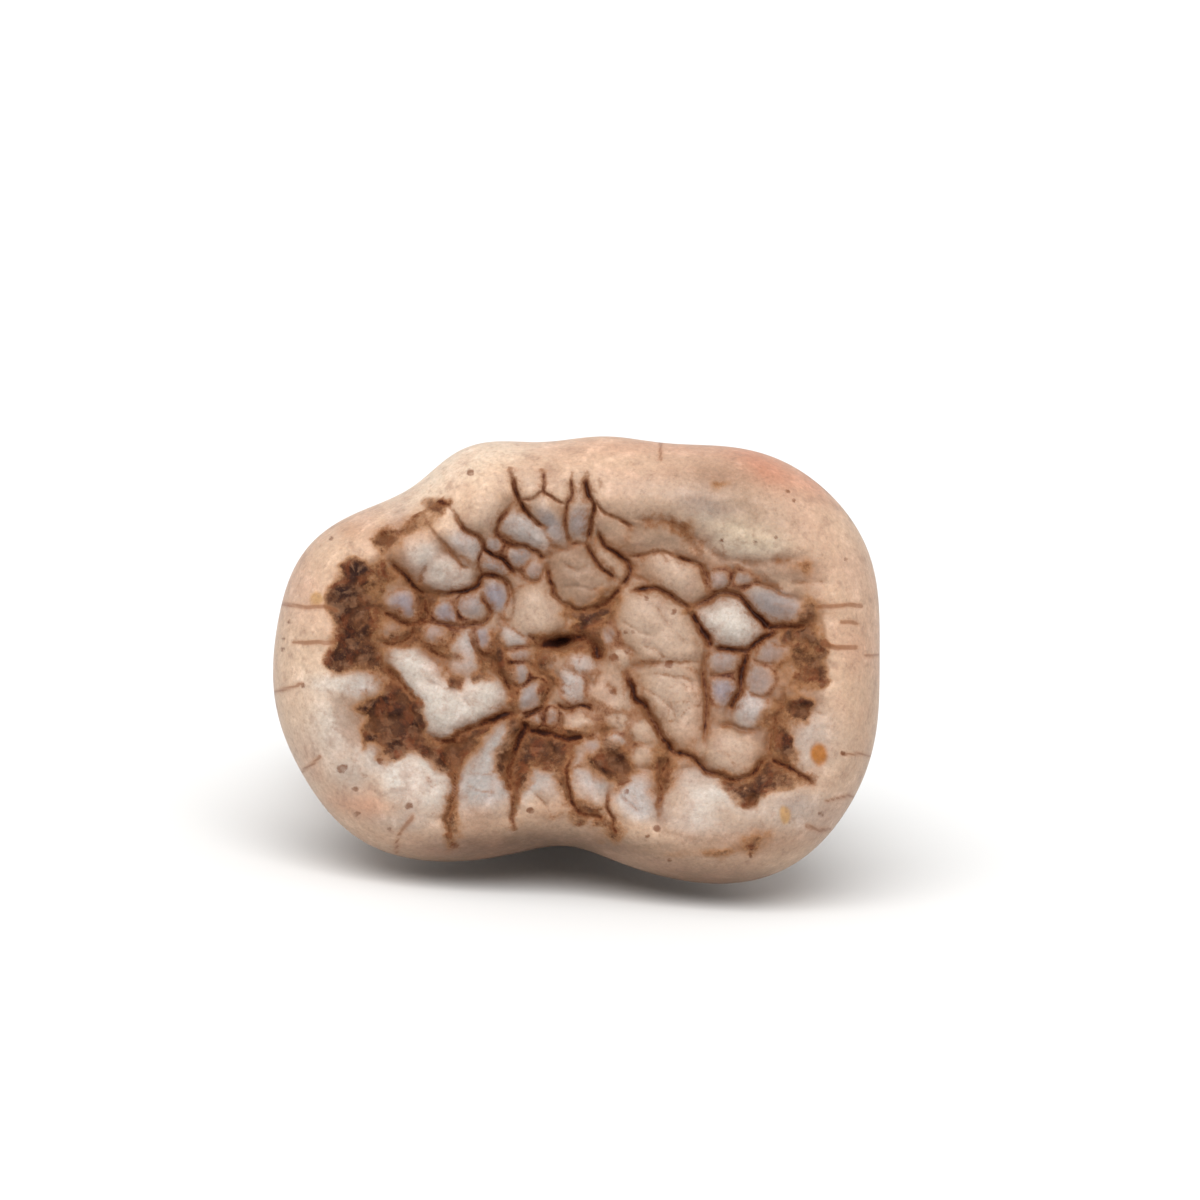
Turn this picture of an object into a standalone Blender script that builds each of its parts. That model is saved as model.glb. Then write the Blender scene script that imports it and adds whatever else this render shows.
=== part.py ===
"""A fossil cheek tooth of a cave bear: crown and root in one solid, lying on its cheek side.

The tooth is shaped in its own axes, in millimetres: u runs along the crown to its front end,
v across it to the tongue side, and w out of the chewing surface, with w = 0 at the tallest cusps.
It is then laid down in the world, in metres: +X is the front end of the crown, -Y the way that
the chewing surface faces, +Z up, and the origin is under the middle of the tooth on the ground.
"""
import math
import bpy
import bmesh
import numpy as np
from mathutils import Matrix

NAME = "tooth"
MM = 0.001
TRIANGLES = 9400

# Driving sizes of the crown, in millimetres
BULGE_LEVEL = -4.6
NECK_LEVEL = -10.4
RIM_LEVEL = -0.6
RIM_WIDTH = 3.0
TABLE_EDGE = 1.25
BASIN_LEVEL = -2.0
BASIN_START = 2.4
BASIN_END = 5.2

# Driving sizes of the root, in millimetres
NECK_LENGTH = 23.2
NECK_WIDTH = 14.6
ROOT_LENGTH = 26.0
ROOT_TAPER = 2.4
ROOT_ROUNDING = 1.7
ROOT_CURVE = 5.2
ROOT_LEAN = 0.8
TIP_NOTCH = 0.8
TIP_START = 0.95

# How the tooth lies: the turn that levels its two cheek-side bulges, and the tilt that brings the
# root down to the ground, in degrees
LEVEL_TURN = 4.2
LYING_TILT = 10.0

# The widest outline of the crown, seen from above the chewing surface
OUTLINE = [
    (13.47, 0.0), (13.4, 2.5), (12.9, 5.0), (11.5, 7.15), (9.5, 8.7), (7.0, 9.5), (4.0, 9.68), (0.0, 9.9),
    (-3.0, 9.76), (-5.8, 9.0), (-7.65, 7.5), (-8.4, 7.17), (-10.1, 6.5), (-11.45, 5.5), (-12.87, 3.5),
    (-13.45, 0.5), (-13.38, -2.0), (-12.72, -4.0), (-11.6, -6.0), (-10.2, -7.5), (-8.2, -8.6),
    (-6.0, -8.9), (-3.0, -8.6), (-0.4, -8.23), (2.0, -9.0), (5.0, -9.8), (7.5, -9.8), (10.0, -8.8),
    (11.5, -7.3), (12.7, -5.3), (13.3, -3.0),
]
OUTLINE_WAVES = 11

# Lobes of the chewing surface: u, v, half length, half width, turn in degrees, prominence
LOBES = [
    # tongue side, back to front
    (-7.8, 6.5, 0.75, 0.5, 60, 0.8),
    (-4.1, 7.1, 1.7, 1.35, 80, 1.3),
    (-5.1, 5.2, 1.45, 0.75, -45, 1.1),
    (-6.3, 4.35, 1.7, 1.35, 0, 1.2),
    (-2.1, 8.1, 1.1, 0.6, 90, 0.8),
    (-0.9, 7.95, 1.0, 0.62, 90, 0.8),
    (0.1, 7.9, 0.75, 0.36, 90, 0.8),
    (-2.25, 5.75, 1.45, 0.75, -30, 1.1),
    (-1.2, 6.2, 1.3, 0.5, -55, 1.1),
    (0.1, 6.4, 1.15, 0.55, 90, 1.1),
    (1.5, 5.9, 1.2, 0.6, -35, 0.9),
    (3.4, 7.7, 3.4, 1.7, -5, 1.0),
    (6.6, 7.3, 4.6, 2.3, -18, 1.15),
    (7.4, 5.7, 3.0, 1.7, -28, 1.5),
    (10.3, 5.0, 2.4, 1.8, -60, 1.0),
    # small tubercles behind the middle
    (-3.65, 5.25, 0.5, 0.42, 0, 0.9),
    (-3.75, 4.35, 0.62, 0.5, -20, 1.0),
    (-2.65, 4.6, 0.55, 0.5, 0, 1.1),
    (-1.95, 4.05, 0.52, 0.46, 0, 0.9),
    (-4.7, 2.45, 0.72, 0.68, 0, 1.1),
    (-3.5, 2.85, 0.78, 0.6, 75, 1.1),
    (-5.75, 2.15, 0.62, 0.55, 0, 0.9),
    (-7.55, 2.5, 0.85, 0.75, 0, 1.2),
    (-8.05, 1.3, 0.5, 0.42, 0, 0.9),
    # middle
    (-1.8, 2.2, 1.45, 1.35, 0, 1.3),
    (-2.8, 1.1, 0.9, 0.55, 0, 0.9),
    (0.35, 3.75, 1.7, 1.4, -10, 1.2),
    (1.5, 4.4, 1.15, 0.5, -50, 1.2),
    (-2.5, 0.2, 0.6, 0.42, 0, 0.9),
    (-2.55, -0.5, 0.62, 0.55, 90, 1.0),
    (-2.0, -1.5, 0.8, 0.68, 90, 1.1),
    (-1.3, 0.0, 0.5, 0.4, 90, 0.9),
    (0.3, -0.1, 0.7, 0.55, 0, 0.8),
    (-0.2, -1.0, 0.85, 0.7, 90, 1.0),
    (1.2, 1.1, 0.7, 0.6, 0, 0.7),
    (-1.85, -2.6, 0.42, 0.36, 90, 0.8),
    (-1.15, -2.5, 0.5, 0.36, 90, 0.8),
    (0.1, -2.6, 0.85, 0.7, 0, 0.9),
    (1.5, -1.4, 1.3, 1.1, -40, 0.8),
    # front half
    (3.7, 5.3, 1.7, 0.75, -8, 0.9),
    (4.2, 3.9, 1.85, 1.05, -35, 1.3),
    (6.3, 3.6, 0.6, 0.5, 0, 0.9),
    (7.4, 3.55, 0.55, 0.45, 0, 0.9),
    (8.8, 2.5, 1.6, 0.8, -22, 1.3),
    (6.75, 1.65, 1.5, 1.22, -10, 1.5),
    (3.6, 1.4, 2.5, 1.7, -45, 1.5),
    (4.4, -1.7, 2.5, 1.15, -72, 1.1),
    (6.5, 0.0, 0.75, 0.65, 90, 0.9),
    (6.4, -1.3, 0.8, 0.65, 90, 0.9),
    (8.7, 0.4, 1.0, 0.65, 35, 0.9),
    (8.1, -0.8, 0.85, 0.7, 80, 1.0),
    (7.7, -2.1, 1.05, 0.8, 75, 1.1),
    (6.8, -4.0, 1.25, 1.15, 0, 1.3),
    (5.2, -3.8, 0.65, 0.55, 0, 0.9),
    (10.4, -3.6, 1.8, 1.4, 90, 0.7),
    # back half and cheek side
    (-9.9, -1.0, 1.3, 0.6, 0, 0.9),
    (-11.4, 1.7, 1.1, 0.75, 0, 0.5),
    (-11.4, 0.1, 1.1, 0.75, 0, 0.5),
    (-7.1, -0.5, 1.6, 0.95, -50, 1.3),
    (-6.0, -2.0, 1.6, 1.1, -65, 1.5),
    (-4.4, -1.6, 1.3, 0.95, 15, 1.3),
    (-6.2, 1.15, 0.9, 0.5, -15, 0.9),
    (-5.1, 0.4, 1.1, 0.7, 90, 1.0),
    (-4.15, 0.85, 0.65, 0.5, 80, 1.0),
    (-3.6, -3.8, 1.5, 0.6, 60, 1.2),
    (-4.1, -5.8, 1.7, 1.3, 90, 0.8),
    (-7.2, -5.2, 2.2, 1.7, 0, 1.25),
    (-1.4, -5.9, 1.3, 1.25, 95, 0.7),
    (0.6, -5.9, 1.2, 0.9, 90, 0.8),
    (0.3, -4.6, 0.8, 0.35, 110, 0.9),
    (2.6, -6.2, 1.4, 1.15, 90, 0.8),
    (5.8, -6.3, 2.5, 1.6, -5, 1.05),
    (9.2, -6.3, 2.0, 1.3, 25, 0.6),
    (3.0, -2.9, 0.7, 0.6, 0, 0.8),
    (2.9, -4.1, 0.65, 0.6, 0, 0.8),
    (1.7, -3.6, 0.55, 0.5, 0, 0.8),
    (0.7, -3.8, 0.5, 0.45, 0, 0.8),
    (1.7, -2.6, 0.8, 0.55, 0, 0.8),
]
LOBE_STEEPNESS = 2.4
LOBE_BASE_RISE = 0.14
LOBE_RISE_BY_WIDTH = 0.4
LOBE_BLEND = 0.09

# Fissures between the lobes: width, depth and the points that each one runs through
FISSURES = [
    (0.28, 0.7, [(-3.0, 8.6), (-2.65, 7.5), (-2.2, 6.6), (-1.3, 5.9)]),
    (0.24, 0.4, [(-1.65, 8.7), (-1.5, 7.5), (-0.9, 7.1), (-0.5, 7.0), (-0.5, 6.2), (-0.3, 5.2)]),
    (0.28, 0.6, [(0.4, 8.3), (0.6, 7.2), (0.65, 6.2), (0.5, 5.3), (1.1, 4.2), (1.7, 3.6)]),
    (0.26, 0.5, [(-2.9, 7.0), (-3.4, 6.2), (-3.35, 5.5), (-2.7, 5.05), (-1.8, 4.75), (-1.2, 4.6)]),
    (0.28, 0.6, [(-5.5, 6.6), (-4.8, 5.75), (-4.05, 5.0), (-3.3, 4.6), (-2.9, 4.05), (-2.6, 3.85)]),
    (0.28, 0.55, [(-8.2, 4.4), (-7.5, 3.85), (-6.8, 3.1), (-6.0, 3.0), (-5.3, 3.0), (-4.3, 3.45),
                  (-3.6, 3.8), (-3.0, 3.2), (-2.85, 2.8)]),
    (0.26, 0.45, [(-8.1, 1.9), (-7.2, 1.6), (-6.2, 1.65), (-5.1, 1.55), (-4.1, 1.7), (-3.8, 2.0)]),
    (0.28, 0.5, [(-4.75, 1.2), (-4.35, 0.45), (-3.7, 0.2), (-3.4, -0.5), (-3.0, -1.1)]),
    (0.3, 0.6, [(-1.3, 4.2), (-1.0, 3.3), (-0.45, 2.5), (0.5, 2.3)]),
    (0.5, 0.9, [(-1.9, 0.8), (-1.2, 0.75), (-0.65, 0.85), (0.1, 1.0), (0.8, 0.6), (0.85, 0.0)]),
    (0.28, 0.5, [(0.95, 5.8), (1.3, 5.1), (2.1, 4.6), (2.4, 4.0), (2.0, 3.4)]),
    (0.4, 0.4, [(2.5, 6.4), (4.0, 6.4), (4.7, 5.9), (5.2, 5.2), (5.6, 4.8)]),
    (0.28, 0.5, [(4.4, 4.7), (5.4, 4.25), (5.8, 3.7), (5.85, 3.4)]),
    (0.32, 0.65, [(2.5, 3.1), (3.5, 3.25), (4.4, 2.7), (5.1, 2.2), (5.5, 1.4), (6.0, 0.5)]),
    (0.32, 0.65, [(5.1, 2.2), (6.0, 2.85), (6.7, 3.0), (7.5, 2.5), (8.2, 1.8), (9.0, 1.5), (10.3, 1.7)]),
    (0.32, 0.6, [(6.0, 0.5), (7.2, 0.45), (7.9, 0.85), (8.5, 1.2), (9.0, 1.4)]),
    (0.26, 0.4, [(7.3, 3.0), (7.9, 3.45), (8.7, 3.25), (9.7, 2.8)]),
    (0.34, 0.7, [(7.45, 0.4), (7.25, -0.5), (7.05, -1.6), (6.75, -2.15)]),
    (0.3, 0.4, [(5.95, 0.4), (5.6, -0.8), (5.7, -2.2), (5.6, -3.5)]),
    (0.38, 0.75, [(2.1, -0.5), (2.6, -1.6), (3.2, -2.4), (3.8, -3.3), (4.1, -4.0), (4.9, -4.2),
                  (5.7, -4.9), (6.8, -5.2), (7.9, -4.8), (8.5, -4.25), (9.3, -4.7), (10.45, -5.45)]),
    (0.28, 0.4, [(4.05, -4.1), (3.7, -4.9), (3.75, -5.7), (3.6, -6.6)]),
    (0.3, 0.4, [(9.1, -1.2), (8.8, -2.5), (8.45, -3.6), (8.5, -4.2)]),
    (0.3, 0.5, [(-1.3, -1.3), (-1.6, -2.1), (-1.0, -1.9), (0.0, -1.85), (0.7, -2.1)]),
    (0.42, 0.8, [(-2.35, -2.6), (-2.4, -3.2), (-2.8, -4.3), (-2.95, -5.4), (-2.8, -6.2), (-2.8, -7.2)]),
    (0.36, 0.6, [(-2.3, -3.0), (-1.2, -3.2), (0.0, -3.4), (0.4, -3.3)]),
    (0.36, 0.6, [(-6.5, -3.3), (-5.5, -3.5), (-4.6, -2.9), (-3.6, -2.5), (-2.6, -2.3)]),
    (0.3, 0.45, [(-5.35, -4.4), (-5.4, -5.6), (-5.8, -6.9), (-5.6, -7.6)]),
    (0.32, 0.5, [(-0.15, -3.9), (-0.4, -5.5), (0.0, -6.6), (0.9, -6.9)]),
    (0.28, 0.4, [(1.5, -5.7), (1.45, -6.6), (1.6, -7.4)]),
    (0.3, 0.45, [(-8.4, 5.6), (-6.9, 6.5), (-6.0, 6.9), (-5.5, 6.6)]),
]
FISSURE_FADE = 0.15

# Pits and sunk places: u, v, half length, half width, depth
PITS = [
    (-0.65, 0.85, 0.6, 0.3, 0.7),
    (-8.4, 5.4, 0.5, 0.5, 0.6),
    (-6.3, 6.95, 0.8, 0.4, 0.5),
    (-9.8, 2.0, 1.0, 2.2, 0.35),
    (-8.4, -2.8, 1.1, 1.1, 0.45),
    (-5.4, -4.0, 0.9, 0.6, 0.4),
    (-1.3, -4.2, 1.1, 0.8, 0.45),
    (10.3, -0.3, 0.8, 0.7, 0.35),
    (9.8, -2.15, 0.6, 0.35, 0.4),
    (7.7, -6.2, 0.4, 0.35, 0.4),
    (1.6, -4.7, 0.6, 0.5, 0.4),
]


def smooth_step(low, high, value):
    """Rises from 0 at low to 1 at high, level at both ends."""
    part = np.clip((value - low) / (high - low), 0.0, 1.0)
    return part * part * (3.0 - 2.0 * part)


def wave_terms(angle):
    """The terms of a periodic series, one column for each."""
    columns = [np.ones_like(angle)]
    for wave in range(1, OUTLINE_WAVES + 1):
        columns.append(np.cos(wave * angle))
        columns.append(np.sin(wave * angle))
    return np.stack(columns, axis=-1)


def outline_series():
    """The periodic series that runs smoothly through the outline's points."""
    points = np.array(OUTLINE)
    angle = np.arctan2(points[:, 1], points[:, 0])
    distance = np.hypot(points[:, 0], points[:, 1])
    return np.linalg.lstsq(wave_terms(angle), distance, rcond=None)[0]


def neck_radius(angle):
    """An oval for the neck, where crown and root meet."""
    half_length = 0.5 * NECK_LENGTH
    half_width = 0.5 * NECK_WIDTH
    across = np.abs(np.cos(angle) / half_length) ** 2.3 + np.abs(np.sin(angle) / half_width) ** 2.3
    return across ** (-1.0 / 2.3)


def smooth_line(points, steps=4):
    """A curve through the given points, as a denser list."""
    known = np.array(points)
    before = np.vstack([2.0 * known[:1] - known[1:2], known[:-1]])
    after = np.vstack([known[1:], 2.0 * known[-1:] - known[-2:-1]])
    slope = 0.5 * (after - before)
    line = [known[:1]]
    for index in range(len(known) - 1):
        part = np.linspace(0.0, 1.0, steps + 1)[1:, None]
        start, end = known[index], known[index + 1]
        line.append((2 * part ** 3 - 3 * part ** 2 + 1) * start + (part ** 3 - 2 * part ** 2 + part) * slope[index]
                    + (3 * part ** 2 - 2 * part ** 3) * end + (part ** 3 - part ** 2) * slope[index + 1])
    return np.vstack(line)


def distance_to_line(u, v, line):
    """How far each place is from a line of short stretches, and the share of the line it is beside."""
    nearest = np.full(u.shape, 1e9)
    share = np.zeros(u.shape)
    for index, (start, end) in enumerate(zip(line[:-1], line[1:])):
        run = end - start
        part = ((u - start[0]) * run[0] + (v - start[1]) * run[1]) / max(run @ run, 1e-12)
        part = np.clip(part, 0.0, 1.0)
        gap = np.hypot(u - start[0] - part * run[0], v - start[1] - part * run[1])
        share = np.where(gap < nearest, (index + part) / (len(line) - 1), share)
        nearest = np.minimum(nearest, gap)
    return nearest, share


def cap_height(inset):
    """The enamel edge of the crown: up over the shoulder to the rim, then down into the basin."""
    shoulder = np.clip(1.0 - inset / RIM_WIDTH, 0.0, 1.0)
    outside = BULGE_LEVEL + (RIM_LEVEL - BULGE_LEVEL) * np.sqrt(1.0 - shoulder ** 2)
    return outside + (BASIN_LEVEL - RIM_LEVEL) * smooth_step(BASIN_START, BASIN_END, inset)


def lobe_rise(u, v, lobe):
    """How far one lobe stands up: rounded on top and ever steeper away from it."""
    centre_u, centre_v, half_length, half_width, turn, prominence = lobe
    cosine, sine = math.cos(math.radians(turn)), math.sin(math.radians(turn))
    along = (cosine * (u - centre_u) + sine * (v - centre_v)) / half_length
    across = (cosine * (v - centre_v) - sine * (u - centre_u)) / half_width
    rise = prominence * (LOBE_BASE_RISE + LOBE_RISE_BY_WIDTH * half_width)
    return rise * (1.0 - np.hypot(along, across) ** LOBE_STEEPNESS)


def table_height(u, v, inset):
    """The chewing surface: lobes on the rim and in the basin, with the fissures and pits cut in."""
    rises = [np.zeros_like(u)]
    for lobe in LOBES:
        rises.append(lobe_rise(u, v, lobe))
    highest = np.maximum.reduce(rises)
    total = sum(np.exp(np.maximum((one - highest) / LOBE_BLEND, -60.0)) for one in rises)
    rise = highest + LOBE_BLEND * np.log(total)
    cut = np.zeros_like(u)
    for width, depth, points in FISSURES:
        gap, share = distance_to_line(u, v, smooth_line(points))
        ends = smooth_step(0.0, FISSURE_FADE, share) * smooth_step(0.0, FISSURE_FADE, 1.0 - share)
        cut = np.maximum(cut, depth * ends * np.exp(-(gap / (0.5 * width)) ** 2))
    for centre_u, centre_v, half_length, half_width, depth in PITS:
        spread = ((u - centre_u) / half_length) ** 2 + ((v - centre_v) / half_width) ** 2
        cut = np.maximum(cut, depth * np.exp(-spread))
    return cap_height(inset) + (rise - cut) * smooth_step(TABLE_EDGE, TABLE_EDGE + 1.0, inset)


def root_radius(share):
    """How thick the root is at a share of its length, as a share of the neck."""
    return (1.0 - share ** ROOT_TAPER) ** (1.0 / ROOT_ROUNDING)


def root_share(radius):
    """The share of the root's length at which it has the given thickness."""
    return (1.0 - radius ** ROOT_ROUNDING) ** (1.0 / ROOT_TAPER)


def root_points(angle, share, radius):
    """Places on the root: a flat cone with a groove down both faces, curved back at its tip."""
    groove = (0.04 + 0.09 * smooth_step(0.05, 0.6, share)) * np.exp(-(np.cos(angle) / 0.34) ** 2)
    swell = 1.0 + 0.018 * np.sin(3.0 * angle + 9.0 * share) + 0.012 * np.sin(5.0 * angle - 14.0 * share)
    reach = neck_radius(angle) * radius * (1.0 - groove) * (1.0 + (swell - 1.0) * smooth_step(0.0, 0.15, share))
    u = reach * np.cos(angle)
    v = reach * np.sin(angle)
    notch = TIP_NOTCH * np.exp(-(u / 1.3) ** 2) * smooth_step(0.8, 1.0, share)
    w = NECK_LEVEL - ROOT_LENGTH * share + notch
    return u - ROOT_CURVE * share ** 1.9, v - ROOT_LEAN * share ** 2, w


def crown_wall(angle, series, turn):
    """Places on the side of the crown: turn falls from the shoulder through 0 at the bulge to the neck."""
    radius = wave_terms(angle) @ series
    upper_inset = RIM_WIDTH * (1.0 - np.cos(turn))
    upper_level = BULGE_LEVEL + (RIM_LEVEL - BULGE_LEVEL) * np.sin(turn)
    lower = (1.0 - np.cos(turn)) / (1.0 - math.cos(NECK_TURN))
    lower_inset = (radius - neck_radius(angle)) * lower
    lower_level = BULGE_LEVEL + (BULGE_LEVEL - NECK_LEVEL) * np.sin(turn) / math.sin(NECK_TURN)
    reach = radius - np.where(turn > 0.0, upper_inset, lower_inset)
    return reach * np.cos(angle), reach * np.sin(angle), np.where(turn > 0.0, upper_level, lower_level)


SHOULDER_TURN = math.acos(1.0 - TABLE_EDGE / RIM_WIDTH)
NECK_TURN = math.radians(47.0)
CROWN_SHARE = 0.36


def tooth_places(cube):
    """Carries the surface of a cube onto the tooth: its top to the chewing surface, its sides to the
    crown's wall and the root, and its bottom to the root's tip."""
    x, y, z = cube[:, 0], cube[:, 1], cube[:, 2]
    disc_x = x * np.sqrt(1.0 - 0.5 * y * y)
    disc_y = y * np.sqrt(1.0 - 0.5 * x * x)
    angle = np.arctan2(disc_y, disc_x)
    disc = np.clip(np.hypot(disc_x, disc_y), 0.0, 1.0)
    series = outline_series()
    places = np.zeros_like(cube)

    top = z > 1.0 - 1e-6
    radius = wave_terms(angle[top]) @ series
    reach = disc[top] * (radius - TABLE_EDGE)
    u, v = reach * np.cos(angle[top]), reach * np.sin(angle[top])
    places[top] = np.stack([u, v, table_height(u, v, radius - reach)], axis=-1)

    down = 0.5 * (1.0 - z)
    crown = ~top & (down <= CROWN_SHARE)
    turn = SHOULDER_TURN - (SHOULDER_TURN + NECK_TURN) * down[crown] / CROWN_SHARE
    places[crown] = np.stack(crown_wall(angle[crown], series, turn), axis=-1)

    tip = z < -1.0 + 1e-6
    side = ~top & ~crown & ~tip
    share = TIP_START * (down[side] - CROWN_SHARE) / (1.0 - CROWN_SHARE)
    places[side] = np.stack(root_points(angle[side], share, root_radius(share)), axis=-1)
    radius = disc[tip] * root_radius(TIP_START)
    places[tip] = np.stack(root_points(angle[tip], root_share(radius), radius), axis=-1)
    return places


def refine(bm, reaches):
    """Splits in four the cube faces whose middle passes the given test."""
    chosen = [face for face in bm.faces if reaches(face.calc_center_median())]
    edges = list({edge for face in chosen for edge in face.edges})
    bmesh.ops.subdivide_edges(bm, edges=edges, cuts=1, use_grid_fill=True)


def tooth_mesh():
    """The whole tooth as one fine mesh, in millimetres and in its own axes."""
    bm = bmesh.new()
    bmesh.ops.create_cube(bm, size=2.0)
    bmesh.ops.subdivide_edges(bm, edges=bm.edges[:], cuts=47, use_grid_fill=True)
    refine(bm, lambda middle: middle.z > 0.8)
    refine(bm, lambda middle: middle.z > 0.99)
    bmesh.ops.triangulate(bm, faces=bm.faces[:])
    mesh = bpy.data.meshes.new(NAME)
    bm.to_mesh(mesh)
    bm.free()
    cube = np.zeros(len(mesh.vertices) * 3)
    mesh.vertices.foreach_get("co", cube)
    places = tooth_places(cube.reshape(-1, 3))
    mesh.vertices.foreach_set("co", places.ravel())
    mesh.update()
    return mesh


def lie_down(mesh):
    """Turns the tooth from its own axes to the way it lies, with the origin under its middle."""
    level = Matrix.Rotation(math.radians(LEVEL_TURN), 4, "Z")
    chewing_face_forward = Matrix.Rotation(math.radians(90.0 - LYING_TILT), 4, "X")
    mesh.transform(chewing_face_forward @ level)
    mesh.transform(Matrix.Scale(MM, 4))
    flat = np.zeros(len(mesh.vertices) * 3)
    mesh.vertices.foreach_get("co", flat)
    places = flat.reshape(-1, 3)
    low, high = places.min(axis=0), places.max(axis=0)
    middle = 0.5 * (low + high)
    mesh.transform(Matrix.Translation((-middle[0], -middle[1], -low[2])))


def thinned(fine, collection):
    """The same form with far fewer triangles."""
    worker = bpy.data.objects.new("worker", fine)
    collection.objects.link(worker)
    decimate = worker.modifiers.new("fewer_triangles", "DECIMATE")
    decimate.ratio = TRIANGLES / len(fine.polygons)
    evaluated = worker.evaluated_get(bpy.context.evaluated_depsgraph_get())
    mesh = bpy.data.meshes.new_from_object(evaluated)
    bpy.data.objects.remove(worker)
    return mesh


def enamel_and_dentine():
    """The plain colour of the old enamel."""
    material = bpy.data.materials.new("tooth_enamel")
    material.use_nodes = True
    shader = material.node_tree.nodes["Principled BSDF"]
    shader.inputs["Base Color"].default_value = (0.68, 0.52, 0.38, 1.0)
    shader.inputs["Roughness"].default_value = 0.4
    shader.inputs["Metallic"].default_value = 0.0
    return material


def build_tooth(collection):
    """The tooth, thinned and laid down."""
    mesh = thinned(tooth_mesh(), collection)
    lie_down(mesh)
    mesh.name = NAME
    tooth = bpy.data.objects.new(NAME, mesh)
    mesh.materials.clear()
    mesh.materials.append(enamel_and_dentine())
    collection.objects.link(tooth)
    mesh.shade_smooth()


def main():
    for thing in list(bpy.data.objects):
        bpy.data.objects.remove(thing)
    collection = bpy.data.collections.new("cave_bear_tooth")
    bpy.context.scene.collection.children.link(collection)
    build_tooth(collection)


main()
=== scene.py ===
"""The looks of a fossil cave bear tooth, around its solid frame.

The tooth is one piece. Its fine surface is shaped here in the tooth's own axes, in millimetres: u
runs along the crown to its front end, v across it to the tongue side, and w out of the chewing
surface. It is then laid down in the frame, in metres, where the solid tooth lies.
"""
import math
import bpy
import bmesh
import numpy as np
from mathutils import Matrix, Vector


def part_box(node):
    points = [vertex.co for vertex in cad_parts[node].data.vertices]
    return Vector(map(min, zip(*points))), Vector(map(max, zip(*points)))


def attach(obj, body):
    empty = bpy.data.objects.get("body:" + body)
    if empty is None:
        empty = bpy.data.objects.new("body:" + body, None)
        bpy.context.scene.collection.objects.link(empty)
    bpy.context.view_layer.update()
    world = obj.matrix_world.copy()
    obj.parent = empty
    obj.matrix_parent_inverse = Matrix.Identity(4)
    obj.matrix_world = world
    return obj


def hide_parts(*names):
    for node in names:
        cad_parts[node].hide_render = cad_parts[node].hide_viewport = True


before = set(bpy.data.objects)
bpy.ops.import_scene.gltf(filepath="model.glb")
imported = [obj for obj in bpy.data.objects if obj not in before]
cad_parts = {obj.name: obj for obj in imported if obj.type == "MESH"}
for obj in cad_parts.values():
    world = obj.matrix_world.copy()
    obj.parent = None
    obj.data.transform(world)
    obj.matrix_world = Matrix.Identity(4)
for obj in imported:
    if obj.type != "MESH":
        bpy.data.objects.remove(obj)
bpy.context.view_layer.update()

MM = 0.001

# Driving sizes of the crown, in millimetres
BULGE_LEVEL = -4.6
NECK_LEVEL = -10.4
RIM_LEVEL = -0.6
RIM_WIDTH = 3.0
TABLE_EDGE = 1.25
BASIN_LEVEL = -1.75
ENAMEL_EDGE_LEVEL = -9.1
ENAMEL_EDGE_WAVE = 0.5
ENAMEL_EDGE_RUN = 0.12
ENAMEL_THICKNESS = 0.16

# Where the round of the crown's wall begins at the shoulder and ends at the neck
SHOULDER_TURN = math.acos(1.0 - TABLE_EDGE / RIM_WIDTH)
NECK_TURN = math.radians(47.0)

# Driving sizes of the root, in millimetres
NECK_LENGTH = 23.2
NECK_WIDTH = 14.6
NECK_SQUARENESS = 2.3
ROOT_LENGTH = 26.9
ROOT_TAPER = 2.4
ROOT_ROUNDING = 1.7
ROOT_CURVE = 5.2
ROOT_LEAN = 0.8
TIP_NOTCH = 0.8
TIP_NOTCH_WIDTH = 1.3
TIP_START = 0.95
ROOT_PIT_DEPTH = 0.16

# The groove down both faces of the root, as shares of its thickness
GROOVE_START = 0.04
GROOVE_DEEPENING = 0.2
GROOVE_SHIFT = 0.1
GROOVE_WIDTH = 0.26

# How the tooth lies, in degrees
LEVEL_TURN = 4.2
LYING_TILT = 10.0

# Where the photo shows the crown: its middle, and how large a millimetre is, in pixels
PHOTO_SIDE = 1200
CROWN_MIDDLE_PX = (577, 661)
PX_PER_MM = 22.5
CAMERA_DISTANCE = 450.0
CAMERA_REACH = (0.01, 20.0)
SENSOR_MM = 36.0

# The floor, in metres, and the light, with its spread in degrees
FLOOR_HALF = 2.0
FLOOR_COLOUR = (0.66, 0.66, 0.655, 1.0)
FLOOR_ROUGHNESS = 0.8
SKY_STRENGTH = 0.9
LAMP_STRENGTH = 3.5
LAMP_SPREAD = 50.0
LAMP_DIRECTION = (0.08, 0.68, -0.73)

# The widest outline of the crown, seen from above the chewing surface
OUTLINE = [
    (13.47, 0.0), (13.4, 2.5), (12.9, 5.0), (11.5, 7.15), (9.5, 8.7), (7.0, 9.5), (4.0, 9.68), (0.0, 9.9),
    (-3.0, 9.76), (-5.8, 9.0), (-7.65, 7.5), (-8.4, 7.17), (-10.1, 6.5), (-11.45, 5.5), (-12.87, 3.5),
    (-13.45, 0.5), (-13.38, -2.0), (-12.72, -4.0), (-11.6, -6.0), (-10.2, -7.5), (-8.2, -8.6),
    (-6.0, -8.9), (-3.0, -8.6), (-0.4, -8.23), (2.0, -9.0), (5.0, -9.8), (7.5, -9.8), (10.0, -8.8),
    (11.5, -7.3), (12.7, -5.3), (13.3, -3.0),
]
OUTLINE_WAVES = 11

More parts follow.
